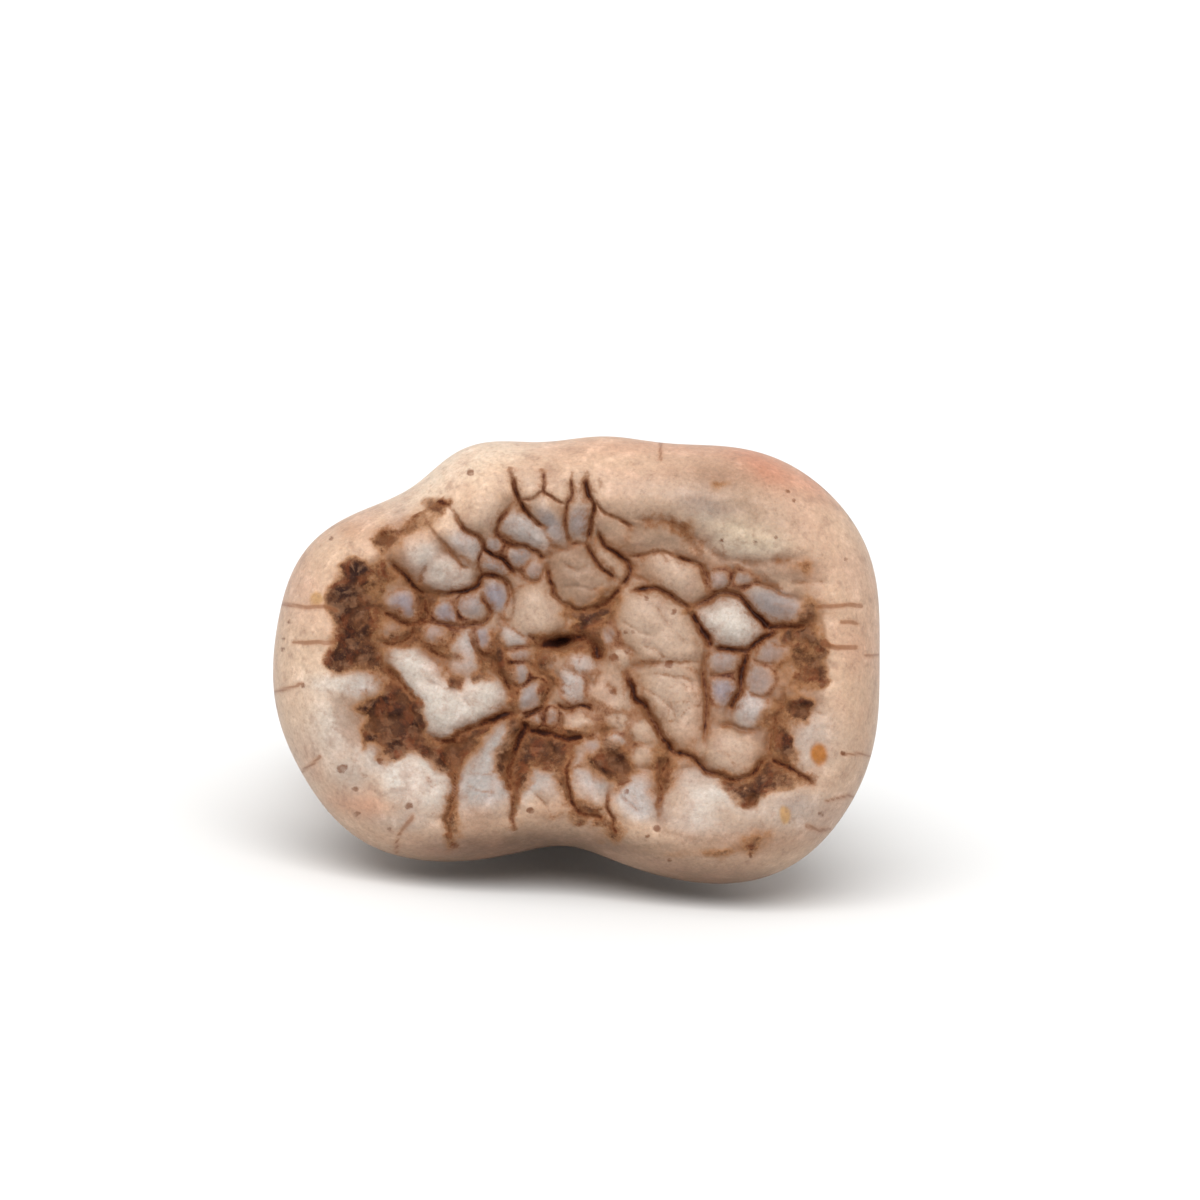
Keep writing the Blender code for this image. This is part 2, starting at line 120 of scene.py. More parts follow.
# Tones of the old enamel, dentine and stain, and tones of painted light and shade, as red, green and blue
# from 0 to 255: at the edge of a lobe, and at its middle
TONES = {
    "enamel": ((218, 184, 156), (218, 184, 156)),
    # pale: painted light where the light falls on the top and left of the rim, over its paler tone
    "pale": ((238, 214, 190), (238, 214, 190)),
    "cream": ((176, 142, 116), (194, 166, 144)),
    # ivory: a whitish tone whose lighter middle is partly a painted highlight on the lobes' tops
    "ivory": ((182, 162, 148), (210, 198, 186)),
    "milk": ((168, 152, 142), (174, 166, 160)),
    "white": ((176, 155, 141), (186, 176, 170)),
    "grey": ((174, 152, 138), (150, 139, 136)),
    "mauve": ((170, 146, 130), (152, 135, 129)),
    "blue": ((172, 154, 146), (140, 133, 139)),
    "tan": ((170, 134, 106), (182, 152, 128)),
    "dun": ((152, 120, 96), (160, 130, 108)),
    # olive: the slope's pale tone, made lighter still as painted light where the slope tilts away from the
    # light
    "olive": ((226, 200, 170), (226, 200, 170)),
    "pink": ((206, 164, 144), (206, 164, 144)),
    # dusk: a dull tone, also used as painted shade along the bottom of the crown
    "dusk": ((168, 130, 106), (168, 130, 106)),
    "salmon": ((206, 136, 106), (206, 136, 106)),
    "ochre": ((172, 104, 24), (172, 104, 24)),
    "amber": ((200, 158, 110), (200, 158, 110)),
    "ground": ((170, 134, 106), (170, 134, 106)),
    # shade: painted shade along the bottom of the crown, where it faces down to the floor
    "shade": ((110, 78, 56), (110, 78, 56)),
}
ALBEDO = 0.62

# Colours laid over those tones, each as far as its source says: source, from and to which of its
# values, strength, colour, and the same for what limits it
SURFACE_LAYERS = [
    # mottles, and painted shade with a brown tint at the edges of the lobes and between them
    ("middling", 0.48, 0.28, 0.45, (164, 128, 108)),
    ("fine", 0.48, 0.32, 0.35, (156, 120, 98)),
    ("bank", 0.2, -0.15, 0.45, (148, 112, 88)),
    # brown matrix, with dregs, grains, crumbs and rust in it
    ("basin", 0.05, 0.42, 0.72, (166, 110, 62)),
    ("basin", 0.34, 0.78, 0.92, (92, 50, 24)),
    ("basin", 0.7, 1.15, 1.0, (50, 20, 8)),
    ("lumps", 0.5, 0.38, 0.75, (62, 30, 14), "basin", 0.4, 0.7),
    ("grain", 0.58, 0.72, 0.35, (150, 106, 70), "basin", 0.35, 0.6),
    ("lumps", 0.5, 0.64, 0.6, (148, 106, 78), "basin", 0.4, 0.7),
    ("middling", 0.5, 0.65, 0.5, (132, 66, 32), "basin", 0.3, 0.6),
    # stain in the fissures, and painted shade with brown stain in the hollows
    ("hollow", 0.0, 0.12, 0.55, (120, 74, 44)),
    ("stain", 0.04, 0.46, 0.75, (148, 96, 60)),
    ("stain", 0.38, 0.82, 0.88, (98, 44, 14)),
    ("stain", 0.74, 1.02, 1.0, (60, 24, 10)),
]
MARK_LAYERS = [
    # cracks and specks
    ("crack", 0.5, 0.95, 0.35, (180, 126, 88)),
    ("crack", 0.8, 1.0, 0.55, (136, 80, 46)),
    ("speck", 0.78, 1.05, 0.8, (118, 66, 34)),
    # streaks and a duller tone low on the crown's wall
    ("streaks", 0.46, 0.68, 1.0, (190, 144, 108), "level", 0.35, 0.85, 0.5),
    ("level", 0.6, 0.95, 0.4, (196, 148, 108)),
]
BONE_LAYERS = [
    # light streaks, pale places and blotches
    ("streaks", 0.3, 0.7, 1.0, (208, 174, 142)),
    ("broad", 0.42, 0.66, 0.5, (218, 190, 160)),
    ("blotches", 0.44, 0.72, 0.6, (150, 104, 68)),
    # darker by the neck, in the groove and at the tip
    ("level", 1.25, 0.9, 0.5, (140, 94, 58)),
    ("hollow", 0.06, 0.22, 0.6, (112, 72, 44)),
    ("level", 2.4, 3.6, 0.45, (130, 88, 56)),
    ("speckle", 0.6, 0.76, 0.4, (120, 80, 50)),
]
DARK_BONE = (176, 134, 100)
FLESH = (208, 158, 132)
WALL_SPLIT = (146, 94, 58)
BONE_SPLIT = (92, 56, 32)
ENAMEL_SEAM = (98, 60, 34)
LIGHT_MOTTLE = (1.22, 1.24, 1.28, 1.0)

# Random textures of the crown and root: scale, detail, roughness and distortion
TEXTURES = {
    "broad": (0.35, 3.0, 0.55, 0.0),
    "middling": (1.2, 4.0, 0.6, 0.3),
    "fine": (3.2, 5.0, 0.7, 0.0),
    "grain": (11.0, 3.0, 0.6, 0.0),
    "speckle": (5.5, 5.0, 0.7, 0.0),
    "lumps": (1.7, 3.0, 0.55, 0.4),
}
ROOT_TEXTURES = {
    "streaks": (1.7, 5.0, 0.62, 0.15),
    "blotches": (0.34, 4.0, 0.6, 0.0),
}
ROOT_STRETCH = 0.22
ROOT_CELLS = 0.42

# How the surface takes the light
SURFACE = {
    "Metallic": 0.0,
    "IOR": 1.5,
    "Specular IOR Level": 0.14,
    "Subsurface Weight": 0.18,
    "Subsurface Radius": (1.0, 0.55, 0.35),
    "Subsurface Scale": 0.4 * MM,
}
BUMP_STRENGTH = 0.6
BUMP_HEIGHT = 0.15

# Lobes of the chewing surface: u, v, half length, half width, turn in degrees, prominence, tone
LOBES = [
    # tongue side, back to front
    (-7.75, 6.55, 0.8, 0.55, 50, 1.1, "mauve"),
    (-4.15, 6.75, 1.35, 1.05, 80, 1.3, "cream"),
    (-5.0, 5.3, 1.3, 0.65, -45, 1.1, "white"),
    (-6.8, 4.75, 0.9, 0.8, -30, 1.1, "ivory"),
    (-5.7, 3.8, 1.25, 0.85, -15, 1.2, "ivory"),
    (-2.1, 8.1, 1.1, 0.6, 90, 0.8, "enamel"),
    (-0.9, 7.95, 1.0, 0.62, 90, 0.8, "enamel"),
    (0.1, 7.9, 0.75, 0.36, 90, 0.8, "grey"),
    (-2.25, 5.75, 1.45, 0.75, -30, 1.1, "white"),
    (-1.2, 6.2, 1.3, 0.5, -55, 1.1, "grey"),
    (0.1, 6.4, 1.15, 0.55, 90, 1.1, "grey"),
    (1.5, 5.9, 1.2, 0.6, -35, 0.9, "tan"),
    (3.4, 7.7, 3.4, 1.7, -5, 0.7, "enamel"),
    (6.6, 7.3, 4.6, 2.3, -18, 0.6, "enamel"),
    (7.3, 5.8, 3.0, 1.6, -28, 0.9, "ivory"),
    (10.3, 5.0, 2.4, 1.8, -60, 0.7, "enamel"),
    # small tubercles behind the middle
    (-3.62, 5.25, 0.5, 0.42, 0, 0.9, "grey"),
    (-3.58, 4.32, 0.66, 0.52, -20, 1.0, "grey"),
    (-2.57, 4.6, 0.58, 0.52, 0, 1.1, "grey"),
    (-1.9, 4.02, 0.52, 0.46, 0, 0.9, "mauve"),
    (-4.7, 2.45, 0.78, 0.7, 0, 1.1, "grey"),
    (-3.55, 2.9, 0.82, 0.62, -70, 1.1, "blue"),
    (-5.8, 2.1, 0.66, 0.55, 0, 0.9, "blue"),
    (-7.55, 2.5, 0.85, 0.75, 0, 1.2, "blue"),
    (-8.05, 1.3, 0.5, 0.42, 0, 0.9, "mauve"),
    # middle
    (-1.8, 2.2, 1.45, 1.35, 0, 1.3, "cream"),
    (-2.8, 1.1, 0.9, 0.55, 0, 0.9, "white"),
    (0.35, 3.75, 1.7, 1.4, -10, 1.2, "dun"),
    (1.5, 4.4, 1.15, 0.5, -50, 1.2, "tan"),
    (-2.5, 0.2, 0.6, 0.42, 0, 0.9, "mauve"),
    (-2.55, -0.5, 0.62, 0.55, 90, 1.0, "grey"),
    (-2.0, -1.5, 0.85, 0.62, 60, 1.1, "grey"),
    (-1.3, 0.0, 0.5, 0.4, 90, 0.9, "mauve"),
    (0.25, -0.15, 0.7, 0.55, 0, 0.9, "white"),
    (-0.2, -1.0, 0.85, 0.7, 90, 1.0, "white"),
    (1.2, 1.1, 0.7, 0.6, 0, 0.7, "mauve"),
    (1.9, 0.1, 0.75, 0.5, -60, 0.8, "cream"),
    (0.9, -2.1, 0.55, 0.42, 0, 0.8, "cream"),
    (-1.85, -2.6, 0.42, 0.36, 90, 0.8, "mauve"),
    (-1.15, -2.5, 0.5, 0.36, 90, 0.8, "mauve"),
    (0.05, -2.75, 0.85, 0.65, 0, 0.9, "cream"),
    (1.6, -1.3, 1.4, 1.2, -40, 0.8, "cream"),
    # front half
    (3.7, 5.3, 1.7, 0.75, -8, 0.9, "tan"),
    (4.35, 3.8, 1.75, 1.0, -42, 1.3, "cream"),
    (6.3, 3.6, 0.6, 0.5, 0, 0.9, "mauve"),
    (7.4, 3.55, 0.55, 0.45, 0, 0.9, "mauve"),
    (8.8, 2.5, 1.6, 0.8, -22, 1.3, "grey"),
    (6.75, 1.65, 1.5, 1.22, -10, 1.5, "ivory"),
    (3.6, 1.4, 2.5, 1.7, -45, 1.5, "cream"),
    (4.3, -1.4, 2.8, 1.25, -72, 1.1, "cream"),
    (6.5, 0.0, 0.75, 0.65, 90, 0.9, "mauve"),
    (6.4, -1.3, 0.8, 0.65, 90, 0.9, "blue"),
    (8.7, 0.4, 1.0, 0.65, 35, 0.9, "mauve"),
    (8.1, -0.8, 0.85, 0.7, 80, 1.0, "grey"),
    (7.7, -2.1, 1.05, 0.8, 75, 1.1, "white"),
    (6.8, -4.0, 1.25, 1.15, 0, 1.3, "cream"),
    (5.2, -3.8, 0.65, 0.55, 0, 0.9, "tan"),
    (10.4, -3.6, 1.8, 1.4, 90, 0.7, "cream"),
    # back half and cheek side
    (-9.9, -1.0, 1.3, 0.6, 0, 0.9, "white"),
    (-11.4, 1.7, 1.1, 0.75, 0, 0.5, "enamel"),
    (-11.4, 0.1, 1.1, 0.75, 0, 0.5, "enamel"),
    (-7.1, -0.5, 1.6, 0.95, -50, 1.3, "ivory"),
    (-6.1, -1.9, 1.8, 1.25, -65, 1.5, "ivory"),
    (-4.6, -1.7, 1.6, 1.1, 15, 1.3, "ivory"),
    (-6.2, 1.15, 0.9, 0.5, -15, 0.9, "mauve"),
    (-5.0, 0.3, 1.3, 0.8, 80, 1.1, "white"),
    (-4.1, 0.97, 0.68, 0.5, -50, 1.0, "blue"),
    (-3.65, -3.9, 1.6, 0.6, 60, 1.2, "milk"),
    (-4.1, -5.8, 1.7, 1.3, 90, 1.0, "milk"),
    (-7.3, -5.3, 2.3, 1.75, 0, 1.25, "ivory"),
    (-9.2, -4.4, 0.9, 0.7, 0, 0.9, "milk"),
    (-1.4, -5.9, 1.3, 1.25, 95, 0.9, "milk"),
    (0.6, -5.9, 1.2, 0.9, 90, 1.0, "milk"),
    (0.3, -4.6, 0.8, 0.35, 110, 0.9, "milk"),
    (2.6, -6.2, 1.4, 1.15, 90, 1.0, "white"),
    (5.8, -6.3, 2.5, 1.6, -5, 1.05, "ivory"),
    (9.2, -6.3, 2.0, 1.3, 25, 0.6, "enamel"),
    (2.9, -3.1, 0.8, 0.7, 0, 0.9, "cream"),
    (2.9, -4.15, 0.65, 0.55, 0, 0.8, "cream"),
    (1.6, -3.55, 0.6, 0.5, 0, 0.9, "white"),
    (0.7, -3.8, 0.5, 0.45, 0, 0.8, "grey"),
    (1.8, -2.5, 1.0, 0.7, -30, 0.8, "cream"),
]
LOBE_STEEPNESS = 2.2
LOBE_FULL_RISE = 0.42
LOBE_RISE_WIDTH = 0.9
LOBE_BLEND = 0.09
LOBE_EDGE_SHARE = 0.6

# How dark the stain is in the seams round the lobes of each tone, and round the bare ground
SEAMS = {"grey": 0.8, "mauve": 0.75, "blue": 0.8, "white": 0.5, "dun": 0.5, "cream": 0.4, "tan": 0.3,
         "ivory": 0.1, "milk": 0.1, "enamel": 0.0}
GROUND_SEAM = 0.35
SEAM_SHARPNESS = 1.3

# How far the surface swells up between the fissures, and how soon
PILLOW_RISE = 0.32
PILLOW_REACH = 0.55

# Small knobs on the lobes and grains in the brown places, and the finest grit and wrinkles
KNOB_SIZE = 0.95
KNOB_RISE = 0.09
KNOB_SEED = 81
KNOB_SCATTER = 0.42
GRAIN_SIZE = 0.42
GRAIN_RISE = 0.05
GRAIN_SEED = 91
GRIT_RISE = 0.09
SKIN_RISE = 0.03

# Faint dark veins between the knobs
VEIN_DARKNESS = 0.24
VEIN_WIDTH = 0.2

# Random roughness by kind: the size of its lumps, and the seed of its random values
ROUGHNESS = {
    "line u": (1.2, 61),
    "line v": (1.2, 71),
    "rim edge": (1.6, 17),
    "grit": (0.55, 5),
    "skin": (0.8, 7),
    "veins": (2.2, 9),
    "stain": (1.5, 15),
    "seams": (1.3, 19),
    "basin u": (0.9, 101),
    "basin v": (0.9, 111),
    "enamel edge": (1.6, 51),
    "root streaks": (1.1, 21),
    "root lumps": (3.2, 31),
    "root rings": (4.0, 35),
    "root grain": (0.7, 37),
    "root pits": (1.3, 41),
}
LINE_WANDER = 0.1
TONE_WANDER = 0.4

# Fissures between the lobes: width, depth, darkness and the points that each one runs through
FISSURES = [
    # tongue side
    (0.17, 0.5, 1.0, [(-3.0, 8.65), (-2.8, 8.1), (-2.65, 7.5), (-2.45, 7.0), (-2.2, 6.6), (-1.8, 6.15),
        (-1.3, 5.9)]),
    (0.13, 0.3, 0.7, [(-1.65, 8.7), (-1.5, 7.9), (-1.5, 7.5), (-1.2, 7.3), (-0.9, 7.1), (-0.5, 7.0)]),
    (0.12, 0.25, 0.7, [(-2.6, 7.25), (-2.0, 7.2), (-1.7, 7.45), (-1.5, 7.55)]),
    (0.13, 0.3, 0.75, [(-0.2, 8.3), (-0.25, 7.6), (-0.4, 7.3), (-0.5, 7.0), (-0.5, 6.2), (-0.4, 5.6),
        (-0.3, 5.2)]),
    (0.12, 0.25, 0.6, [(-0.3, 5.2), (0.1, 5.2), (0.5, 5.25)]),
    (0.19, 0.5, 1.0, [(0.4, 8.3), (0.4, 7.5), (0.6, 7.2), (0.75, 6.8), (0.65, 6.2), (0.6, 5.8),
        (0.5, 5.3)]),
    (0.16, 0.4, 0.85, [(0.5, 5.3), (0.55, 5.0), (0.8, 4.6), (1.1, 4.2), (1.4, 3.9), (1.7, 3.6)]),
    (0.15, 0.35, 0.8, [(-2.9, 7.0), (-3.1, 6.6), (-3.4, 6.2), (-3.5, 5.8), (-3.35, 5.5), (-3.0, 5.15),
        (-2.7, 5.05), (-2.3, 5.05), (-2.1, 4.85), (-1.8, 4.75), (-1.5, 4.55), (-1.2, 4.6)]),
    (0.18, 0.45, 0.95, [(-5.5, 6.6), (-5.1, 6.1), (-4.8, 5.75), (-4.4, 5.55), (-4.15, 5.3), (-4.05, 5.0),
        (-3.7, 4.8), (-3.3, 4.6), (-3.1, 4.3), (-2.9, 4.05), (-2.6, 3.85)]),
    (0.11, 0.2, 0.55, [(-6.5, 5.9), (-6.1, 5.4), (-5.7, 5.0), (-5.4, 4.6), (-5.1, 4.2), (-4.8, 4.1)]),
    (0.18, 0.45, 0.9, [(-8.2, 4.4), (-7.9, 4.1), (-7.5, 3.85), (-7.1, 3.4), (-6.8, 3.1), (-6.6, 2.9)]),
    (0.18, 0.45, 0.95, [(-6.6, 2.9), (-6.0, 3.0), (-5.3, 3.0), (-4.7, 3.2), (-4.3, 3.45), (-4.1, 3.8),
        (-3.6, 3.8), (-3.2, 3.6), (-3.0, 3.2), (-2.85, 2.8)]),
    (0.12, 0.25, 0.7, [(-4.1, 3.8), (-4.35, 4.3), (-4.2, 4.8), (-4.05, 5.0)]),
    (0.12, 0.25, 0.6, [(-3.1, 4.3), (-2.6, 3.95), (-2.2, 3.6), (-1.6, 3.65), (-1.4, 4.2)]),
    (0.15, 0.35, 0.8, [(-6.6, 1.8), (-6.2, 1.65), (-5.6, 1.6), (-5.1, 1.55), (-4.6, 1.6), (-4.1, 1.7),
        (-3.8, 2.0), (-3.9, 2.4), (-4.1, 2.7), (-4.15, 3.2)]),
    (0.13, 0.3, 0.75, [(-5.2, 3.0), (-5.35, 2.5), (-5.3, 2.0), (-5.1, 1.6)]),
    (0.16, 0.35, 0.85, [(-6.6, 2.9), (-6.7, 2.4), (-6.6, 1.9), (-7.15, 1.6), (-7.5, 1.65), (-8.1, 1.9),
        (-8.6, 2.2)]),
    (0.13, 0.3, 0.75, [(-8.7, 0.85), (-8.0, 0.8), (-7.3, 1.05), (-7.15, 1.6)]),
    (0.16, 0.4, 0.85, [(-4.75, 1.2), (-4.6, 0.8), (-4.35, 0.45), (-4.1, 0.25), (-3.7, 0.2), (-3.6, -0.1),
        (-3.4, -0.5), (-3.2, -0.8), (-3.0, -1.1), (-2.9, -1.3)]),
    # middle
    (0.16, 0.4, 0.9, [(-1.3, 4.2), (-1.2, 3.6), (-1.0, 3.3), (-0.9, 3.0), (-0.75, 2.75), (-0.45, 2.5)]),
    (0.2, 0.4, 0.85, [(-0.75, 2.75), (-0.3, 2.5), (0.3, 2.35), (1.0, 2.5), (1.6, 2.9), (2.0, 3.4)]),
    (0.12, 0.25, 0.7, [(-2.3, 1.25), (-1.9, 1.0), (-1.8, 0.8)]),
    (0.12, 0.25, 0.65, [(-3.2, 0.6), (-2.6, 0.62), (-2.0, 0.6)]),
    (0.34, 0.6, 1.15, [(-1.7, 0.7), (-1.2, 0.75), (-0.65, 0.85), (0.1, 1.0), (0.5, 0.9), (0.8, 0.6),
        (0.9, 0.2), (0.85, 0.0)]),
    (0.16, 0.4, 0.9, [(0.95, 5.8), (1.05, 5.5), (1.3, 5.1), (1.7, 4.9), (2.1, 4.6), (2.35, 4.4),
        (2.4, 4.0), (2.2, 3.6), (2.0, 3.4)]),
    (0.13, 0.3, 0.65, [(0.6, 7.3), (0.9, 6.9), (1.4, 6.45), (2.0, 6.1), (2.6, 5.85)]),
    (0.12, 0.2, 0.6, [(-1.65, 0.5), (-1.7, 0.0), (-1.6, -0.5), (-1.3, -0.7), (-1.2, -1.2), (-1.5, -1.8)]),
    (0.12, 0.25, 0.7, [(-3.0, -0.15), (-2.5, -0.12), (-2.0, -0.1), (-1.75, -0.3)]),
    (0.12, 0.25, 0.7, [(-3.0, -1.0), (-2.5, -1.0), (-2.1, -0.9), (-1.7, -0.8)]),
    (0.14, 0.3, 0.8, [(-1.0, -1.9), (-0.5, -2.05), (0.0, -1.85), (0.4, -1.95), (0.7, -2.1)]),
    (0.16, 0.35, 0.9, [(-1.3, -1.3), (-1.5, -1.8), (-1.6, -2.1), (-2.0, -2.35), (-2.4, -2.6)]),
    (0.12, 0.25, 0.6, [(-1.55, -2.2), (-1.5, -2.7), (-1.6, -3.0)]),
    (0.12, 0.25, 0.6, [(-0.8, -2.2), (-0.75, -2.6), (-0.8, -3.0)]),
    # front half
    (0.6, 0.1, 0.42, [(2.6, 6.2), (3.4, 6.15), (4.2, 6.1), (4.7, 5.85), (5.1, 5.35), (5.4, 4.9),
        (5.65, 4.4)]),
    (0.4, 0.2, 0.32, [(5.2, 5.6), (5.9, 4.9), (6.7, 4.5), (7.7, 4.3), (8.8, 4.45), (9.8, 4.7)]),
    (0.12, 0.2, 0.5, [(2.3, 4.7), (3.0, 4.75), (3.8, 4.8), (4.4, 4.7)]),
    (0.16, 0.4, 0.9, [(4.4, 4.7), (4.9, 4.5), (5.4, 4.25), (5.6, 4.0), (5.8, 3.7), (5.85, 3.4)]),
    (0.13, 0.3, 0.75, [(7.0, 3.95), (6.95, 3.6), (6.85, 3.4), (6.65, 3.05)]),
    (0.13, 0.25, 0.6, [(5.85, 3.4), (5.9, 3.15), (6.0, 2.9)]),
    (0.18, 0.45, 0.95, [(2.4, 3.1), (3.0, 3.25), (3.5, 3.25), (4.0, 3.0), (4.4, 2.7), (4.8, 2.4),
        (5.1, 2.2)]),
    (0.22, 0.55, 1.1, [(5.1, 2.2), (5.6, 2.6), (6.0, 2.85), (6.3, 3.0), (6.7, 3.0), (7.2, 2.8),
        (7.5, 2.5), (7.9, 2.1), (8.2, 1.8), (8.5, 1.5), (9.0, 1.5), (9.9, 1.5), (10.4, 1.7)]),
    (0.2, 0.5, 1.0, [(5.1, 2.2), (5.3, 1.8), (5.5, 1.4), (5.8, 0.9), (6.0, 0.5)]),
    (0.2, 0.5, 1.05, [(6.0, 0.5), (6.5, 0.5), (7.2, 0.45), (7.5, 0.5), (7.9, 0.85), (8.5, 1.2),
        (9.0, 1.4)]),
    (0.13, 0.25, 0.7, [(7.3, 3.0), (7.5, 3.2), (7.9, 3.45), (8.3, 3.4), (8.7, 3.25), (9.1, 3.0),
        (9.7, 2.8)]),
    (0.24, 0.6, 1.1, [(7.45, 0.4), (7.4, 0.1), (7.25, -0.5), (7.2, -1.0), (7.05, -1.6), (6.9, -2.0),
        (6.75, -2.15)]),
    (0.15, 0.3, 0.8, [(5.95, 0.4), (5.7, 0.0), (5.6, -0.8), (5.65, -1.5), (5.7, -2.2), (5.65, -3.0),
        (5.6, -3.5)]),
    (0.11, 0.15, 0.55, [(10.1, 1.0), (10.15, 0.6), (10.0, 0.3)]),
    (0.13, 0.25, 0.6, [(7.6, -1.4), (8.1, -1.55), (8.6, -1.5)]),
    (0.12, 0.2, 0.55, [(7.7, 0.1), (8.2, -0.1), (8.8, -0.1)]),
    (0.12, 0.2, 0.55, [(5.9, -0.65), (6.4, -0.6), (7.0, -0.6)]),
    (0.26, 0.6, 1.1, [(2.1, -0.5), (2.4, -1.1), (2.6, -1.6), (3.0, -1.9), (3.2, -2.4), (3.5, -2.8),
        (3.8, -3.3), (4.1, -3.8), (4.1, -4.0)]),
    (0.18, 0.45, 0.95, [(4.1, -4.0), (4.4, -4.0), (4.9, -4.2), (5.3, -4.5), (5.7, -4.9), (6.2, -5.0),
        (6.8, -5.2), (7.4, -5.1), (7.9, -4.8), (8.1, -4.5), (8.5, -4.25)]),
    (0.16, 0.35, 0.8, [(8.5, -4.25), (8.9, -4.5), (9.3, -4.7), (9.8, -5.0), (10.3, -5.3), (10.5, -5.5)]),
    (0.2, 0.35, 0.8, [(4.05, -4.1), (3.9, -4.5), (3.7, -4.9), (3.65, -5.3), (3.75, -5.7), (3.7, -6.0),
        (3.6, -6.8)]),
    (0.18, 0.3, 0.7, [(9.1, -1.2), (9.0, -2.0), (8.8, -2.5), (8.6, -3.0), (8.45, -3.6), (8.5, -4.2)]),
    (0.13, 0.25, 0.6, [(6.3, -2.9), (6.9, -2.9), (7.4, -3.0), (8.0, -3.05)]),
    # back half and cheek side
    (0.28, 0.6, 1.1, [(-2.35, -2.6), (-2.3, -3.0), (-2.5, -3.4), (-2.65, -3.8), (-2.8, -4.3),
        (-2.95, -4.8), (-2.95, -5.4), (-2.85, -5.8)]),
    (0.18, 0.45, 0.9, [(-2.85, -5.8), (-2.75, -6.4), (-2.9, -7.0), (-2.8, -7.6)]),
    (0.25, 0.4, 1.0, [(-2.3, -3.0), (-1.8, -3.2), (-1.2, -3.2), (-0.6, -3.4), (0.0, -3.4), (0.4, -3.3)]),
    (0.24, 0.45, 1.0, [(-6.5, -3.3), (-6.0, -3.5), (-5.5, -3.5), (-5.1, -3.1), (-4.6, -2.9), (-4.0, -2.7),
        (-3.6, -2.5), (-3.2, -2.4), (-2.6, -2.3)]),
    (0.18, 0.3, 0.75, [(-5.35, -4.4), (-5.35, -5.0), (-5.4, -5.6), (-5.55, -6.0), (-5.6, -6.5),
        (-5.8, -6.9), (-5.6, -7.3), (-5.5, -7.9)]),
    (0.2, 0.4, 0.9, [(-0.15, -3.9), (-0.35, -4.8), (-0.4, -5.5), (-0.3, -6.2), (0.0, -6.6), (0.4, -6.85),
        (0.9, -6.9), (1.2, -6.9)]),
    (0.15, 0.3, 0.75, [(1.5, -5.7), (1.4, -6.2), (1.45, -6.6), (1.6, -7.0), (1.6, -7.4), (1.9, -7.55)]),
    (0.24, 0.45, 0.85, [(-8.9, 5.4), (-8.4, 5.65), (-7.9, 5.7), (-7.4, 5.95), (-7.1, 6.4), (-6.85, 6.9),
        (-6.3, 7.15), (-5.8, 6.95), (-5.5, 6.6)]),
    (0.13, 0.2, 0.5, [(-8.4, 5.4), (-8.35, 6.2), (-8.3, 7.0)]),
    (0.3, 0.3, 0.6, [(-8.6, -0.2), (-8.2, -0.6), (-7.8, -0.9), (-7.3, -1.5), (-7.0, -1.8)]),
    (0.2, 0.25, 0.65, [(-6.8, 0.8), (-6.2, 0.3), (-5.7, 0.05)]),
]
FISSURE_FADE = 0.12
FISSURE_HALO = 0.3
FISSURE_DEPTH_SHARE = 0.38
FISSURE_REACH = 1.5
CUT_WIDTH_SHARE = 0.62
CORE_WIDTH_SHARE = 0.58

# How far in from the outline the plain enamel band reaches
RIM_BAND = 2.5

# Where each kind of relief or colour begins, in from the outline, and where it is full
INSETS = {
    "basin": (2.2, 6.0),
    "relief": (1.25, 2.4),
    "lobes": (1.8, 4.2),
    "cuts": (TABLE_EDGE, TABLE_EDGE + 1.0),
    "ground": (2.0, 3.4),
    "tones": (1.7, 3.6),
    "veins": (2.2, 3.6),
    "seams": (3.2, 4.4),
}

# Smooth slopes, where the lobes run together: u, v, half length, half width, turn
SLOPES = [(6.4, 7.0, 5.0, 2.6, -15), (10.6, 5.0, 2.6, 2.4, -50), (9.0, -7.4, 3.0, 1.2, 20)]

# Cells along each side of the chewing surface's grid, and the width of a hollow in cells
GRID_CELLS = 256
HOLLOW_CELLS = 4.5

# The cube that the tooth is shaped from: above which levels its faces are split finer, and how much
# of its sides the crown's wall takes
FINER_ABOVE = (0.6, 0.99)
CROWN_SHARE = 0.36

# The run down the tooth, in millimetres, over which its level attribute rises by 1
LEVEL_RUN = 10.0

# Distances that mean that nothing is near: in cells, and in millimetres
FAR = 9.0
OUT_OF_REACH = 1e3

